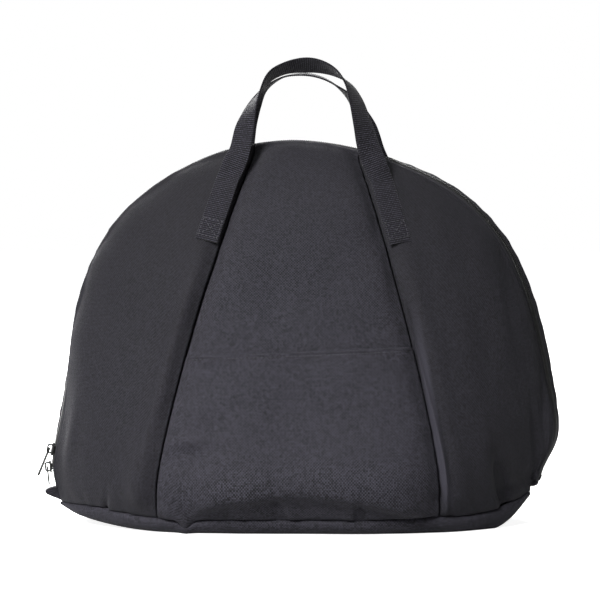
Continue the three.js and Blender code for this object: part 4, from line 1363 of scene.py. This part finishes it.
# Sliders, pulls and tabs

METAL_BEVEL = 0.00022


def merged_copy(node, name, material):
    """A copy of a node's shape with its corners joined and its edges rounded."""
    piece = bpy.data.objects.new(name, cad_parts[node].data.copy())
    bpy.context.collection.objects.link(piece)
    shape = bmesh.new()
    shape.from_mesh(piece.data)
    bmesh.ops.remove_doubles(shape, verts=shape.verts, dist=1e-6)
    shape.to_mesh(piece.data)
    shape.free()
    piece.data.materials.clear()
    piece.data.materials.append(material)
    piece.data.polygons.foreach_set("use_smooth", np.ones(len(piece.data.polygons), bool))
    bevel = piece.modifiers.new("worn edges", "BEVEL")
    bevel.width = METAL_BEVEL
    bevel.segments = 3
    bevel.limit_method = "ANGLE"
    bevel.angle_limit = math.radians(35)
    return piece


for node in ("upper_slider", "lower_slider"):
    finish_piece(merged_copy(node, node + "_metal", pull_metal), node)
for node in ("upper_pull", "lower_pull"):
    finish_piece(merged_copy(node, node + "_metal", pull_metal), node, node)


# The tabs' folds, as places out of the band and along the zip
TAB_WIDTH = 0.013
LEFT_FOLD = [
    (-0.0020, 0.0004),
    (0.0040, 0.0006),
    (0.0095, 0.0000),
    (0.0115, -0.0014),
    (0.0112, -0.0034),
    (0.0085, -0.0056),
    (0.0050, -0.0082),
    (0.0010, -0.0110),
    (-0.0030, -0.0135),
    (-0.0034, -0.0060),
]
RIGHT_FOLD = [
    (-0.0025, -0.0012),
    (0.0010, -0.0010),
    (0.0024, 0.0012),
    (0.0026, 0.0034),
    (0.0014, 0.0056),
    (-0.0006, 0.0066),
    (-0.0028, 0.0062),
    (-0.0034, 0.0020),
]
# Shares of a tab's half width and the size of its fold there
TAB_SECTION = mirrored([(-1, 0.8), (-0.97, 0.94), (-0.9, 1), (-0.3, 1)])


def zip_tab(node, share, outline):
    """A strip folded flat over the zip's end. outline holds places out of the band and along
    the zip, round the fold."""
    middle, across, face, run = rim_frame(np.array(share))
    closed = np.vstack([outline, outline[:1]])
    path = SmoothCurve(np.column_stack([closed, np.zeros(len(closed))]))
    fold = path.place(np.linspace(0, 1, 41))[:-1, :2]
    centre = fold.mean(axis=0)
    width = TAB_WIDTH / 2
    rings = []
    for a, spread in TAB_SECTION:
        flat = lerp(centre, fold, spread)
        rings.append(middle + face * flat[:, :1] + run * flat[:, 1:] + across * a * width)
    length = np.linspace(0, 0.04, 40)
    uv = [np.stack([np.full(40, a * width), length], axis=-1) for a in np.linspace(-1, 1, 8)]
    piece = loft_piece(node + "_fold", np.stack(rings), np.stack(uv), strap_webbing)
    return finish_piece(piece, node)


zip_tab("left_zip_tab", 0.0, np.array(LEFT_FOLD))
zip_tab("right_zip_tab", 1.0, np.array(RIGHT_FOLD))


# Floor, light and camera

FLOOR_REACH = 6
LIGHTS_AIM = (0, 0, 0.17)
LIGHTS = [
    ("key_light", (-1.05, -2.0, 1.65), 0.9, 165.0),
    ("top_light", (-0.3, 0.1, 2.4), 1.4, 26.0),
    ("back_light", (-0.9, 1.9, 1.3), 1.4, 110.0),
]
SKY_MIDDLE = 0.11  # the surround's light from straight ahead
SKY_FALL = -0.04  # how much it changes towards the right
CAMERA_AIM = (0.0023, 0.0, 0.1864)
CAMERA_TURN = 2  # degrees to the right
CAMERA_RAISE = 3  # degrees above the floor
CAMERA_AWAY = 2.8


def floor_and_light():
    mesh = bpy.data.meshes.new("floor")
    reach = FLOOR_REACH
    corners = [(-reach, -reach, 0), (reach, -reach, 0), (reach, reach, 0), (-reach, reach, 0)]
    mesh.from_pydata(corners, [], [(0, 1, 2, 3)])
    mesh.materials.append(pale_floor())
    floor = bpy.data.objects.new("floor", mesh)
    bpy.context.collection.objects.link(floor)
    bpy.context.scene.world = studio_sky()
    bpy.context.scene.view_settings.view_transform = "Standard"
    for name, place, size, power in LIGHTS:
        light = bpy.data.lights.new(name, "AREA")
        light.size = size
        light.energy = power
        lamp = bpy.data.objects.new(name, light)
        lamp.location = place
        towards = Vector(LIGHTS_AIM) - Vector(place)
        lamp.rotation_euler = towards.to_track_quat("-Z", "Y").to_euler()
        bpy.context.collection.objects.link(lamp)


def pale_floor():
    """A white floor that throws little light back up at the bag."""
    recipe = Recipe("pale_floor")
    seen = recipe.add("ShaderNodeLightPath", {}, {})
    spots = recipe.spots(3.0)
    pale = recipe.mixed(spots, grey(0.86), grey(0.9))
    colour = recipe.mixed(seen, grey(0.5), pale)
    glow = recipe.mixed(seen, grey(0.0), grey(0.9))
    values = {"Base Color": colour, "Roughness": 0.9, "Specular IOR Level": 0.1}
    return recipe.finish(values | {"Emission Color": glow, "Emission Strength": 1.0})


def studio_sky():
    """A white surround that lights the bag softly, and less from its right."""
    world = bpy.data.worlds.new("studio")
    world.use_nodes = True
    nodes, links = world.node_tree.nodes, world.node_tree.links
    background = nodes["Background"]
    background.inputs["Color"].default_value = (1.0, 1.0, 1.0, 1.0)
    heading = nodes.new("ShaderNodeTexCoord")
    parts = nodes.new("ShaderNodeSeparateXYZ")
    links.new(heading.outputs["Generated"], parts.inputs[0])
    dimmed = nodes.new("ShaderNodeMath")
    dimmed.operation = "MULTIPLY_ADD"
    links.new(parts.outputs["X"], dimmed.inputs[0])
    dimmed.inputs[1].default_value = SKY_FALL
    dimmed.inputs[2].default_value = SKY_MIDDLE
    seen = nodes.new("ShaderNodeLightPath")
    brighter = nodes.new("ShaderNodeMath")
    brighter.operation = "MAXIMUM"
    links.new(dimmed.outputs[0], brighter.inputs[0])
    links.new(seen.outputs["Is Camera Ray"], brighter.inputs[1])
    links.new(brighter.outputs[0], background.inputs["Strength"])
    return world


def camera():
    """The photograph's view, from almost straight ahead and just above the floor."""
    aim = Vector(CAMERA_AIM)
    turn, raise_up = math.radians(CAMERA_TURN), math.radians(CAMERA_RAISE)
    back = Vector(
        (
            math.sin(turn) * math.cos(raise_up),
            -math.cos(turn) * math.cos(raise_up),
            math.sin(raise_up),
        )
    )
    data = bpy.data.cameras.new("camera")
    data.sensor_width = 36.0
    data.lens = 200.0
    data.clip_end = 100.0
    seen_from = bpy.data.objects.new("camera", data)
    seen_from.location = aim + back * CAMERA_AWAY
    seen_from.rotation_euler = (-back).to_track_quat("-Z", "Y").to_euler()
    bpy.context.collection.objects.link(seen_from)
    bpy.context.scene.camera = seen_from


floor_and_light()
camera()
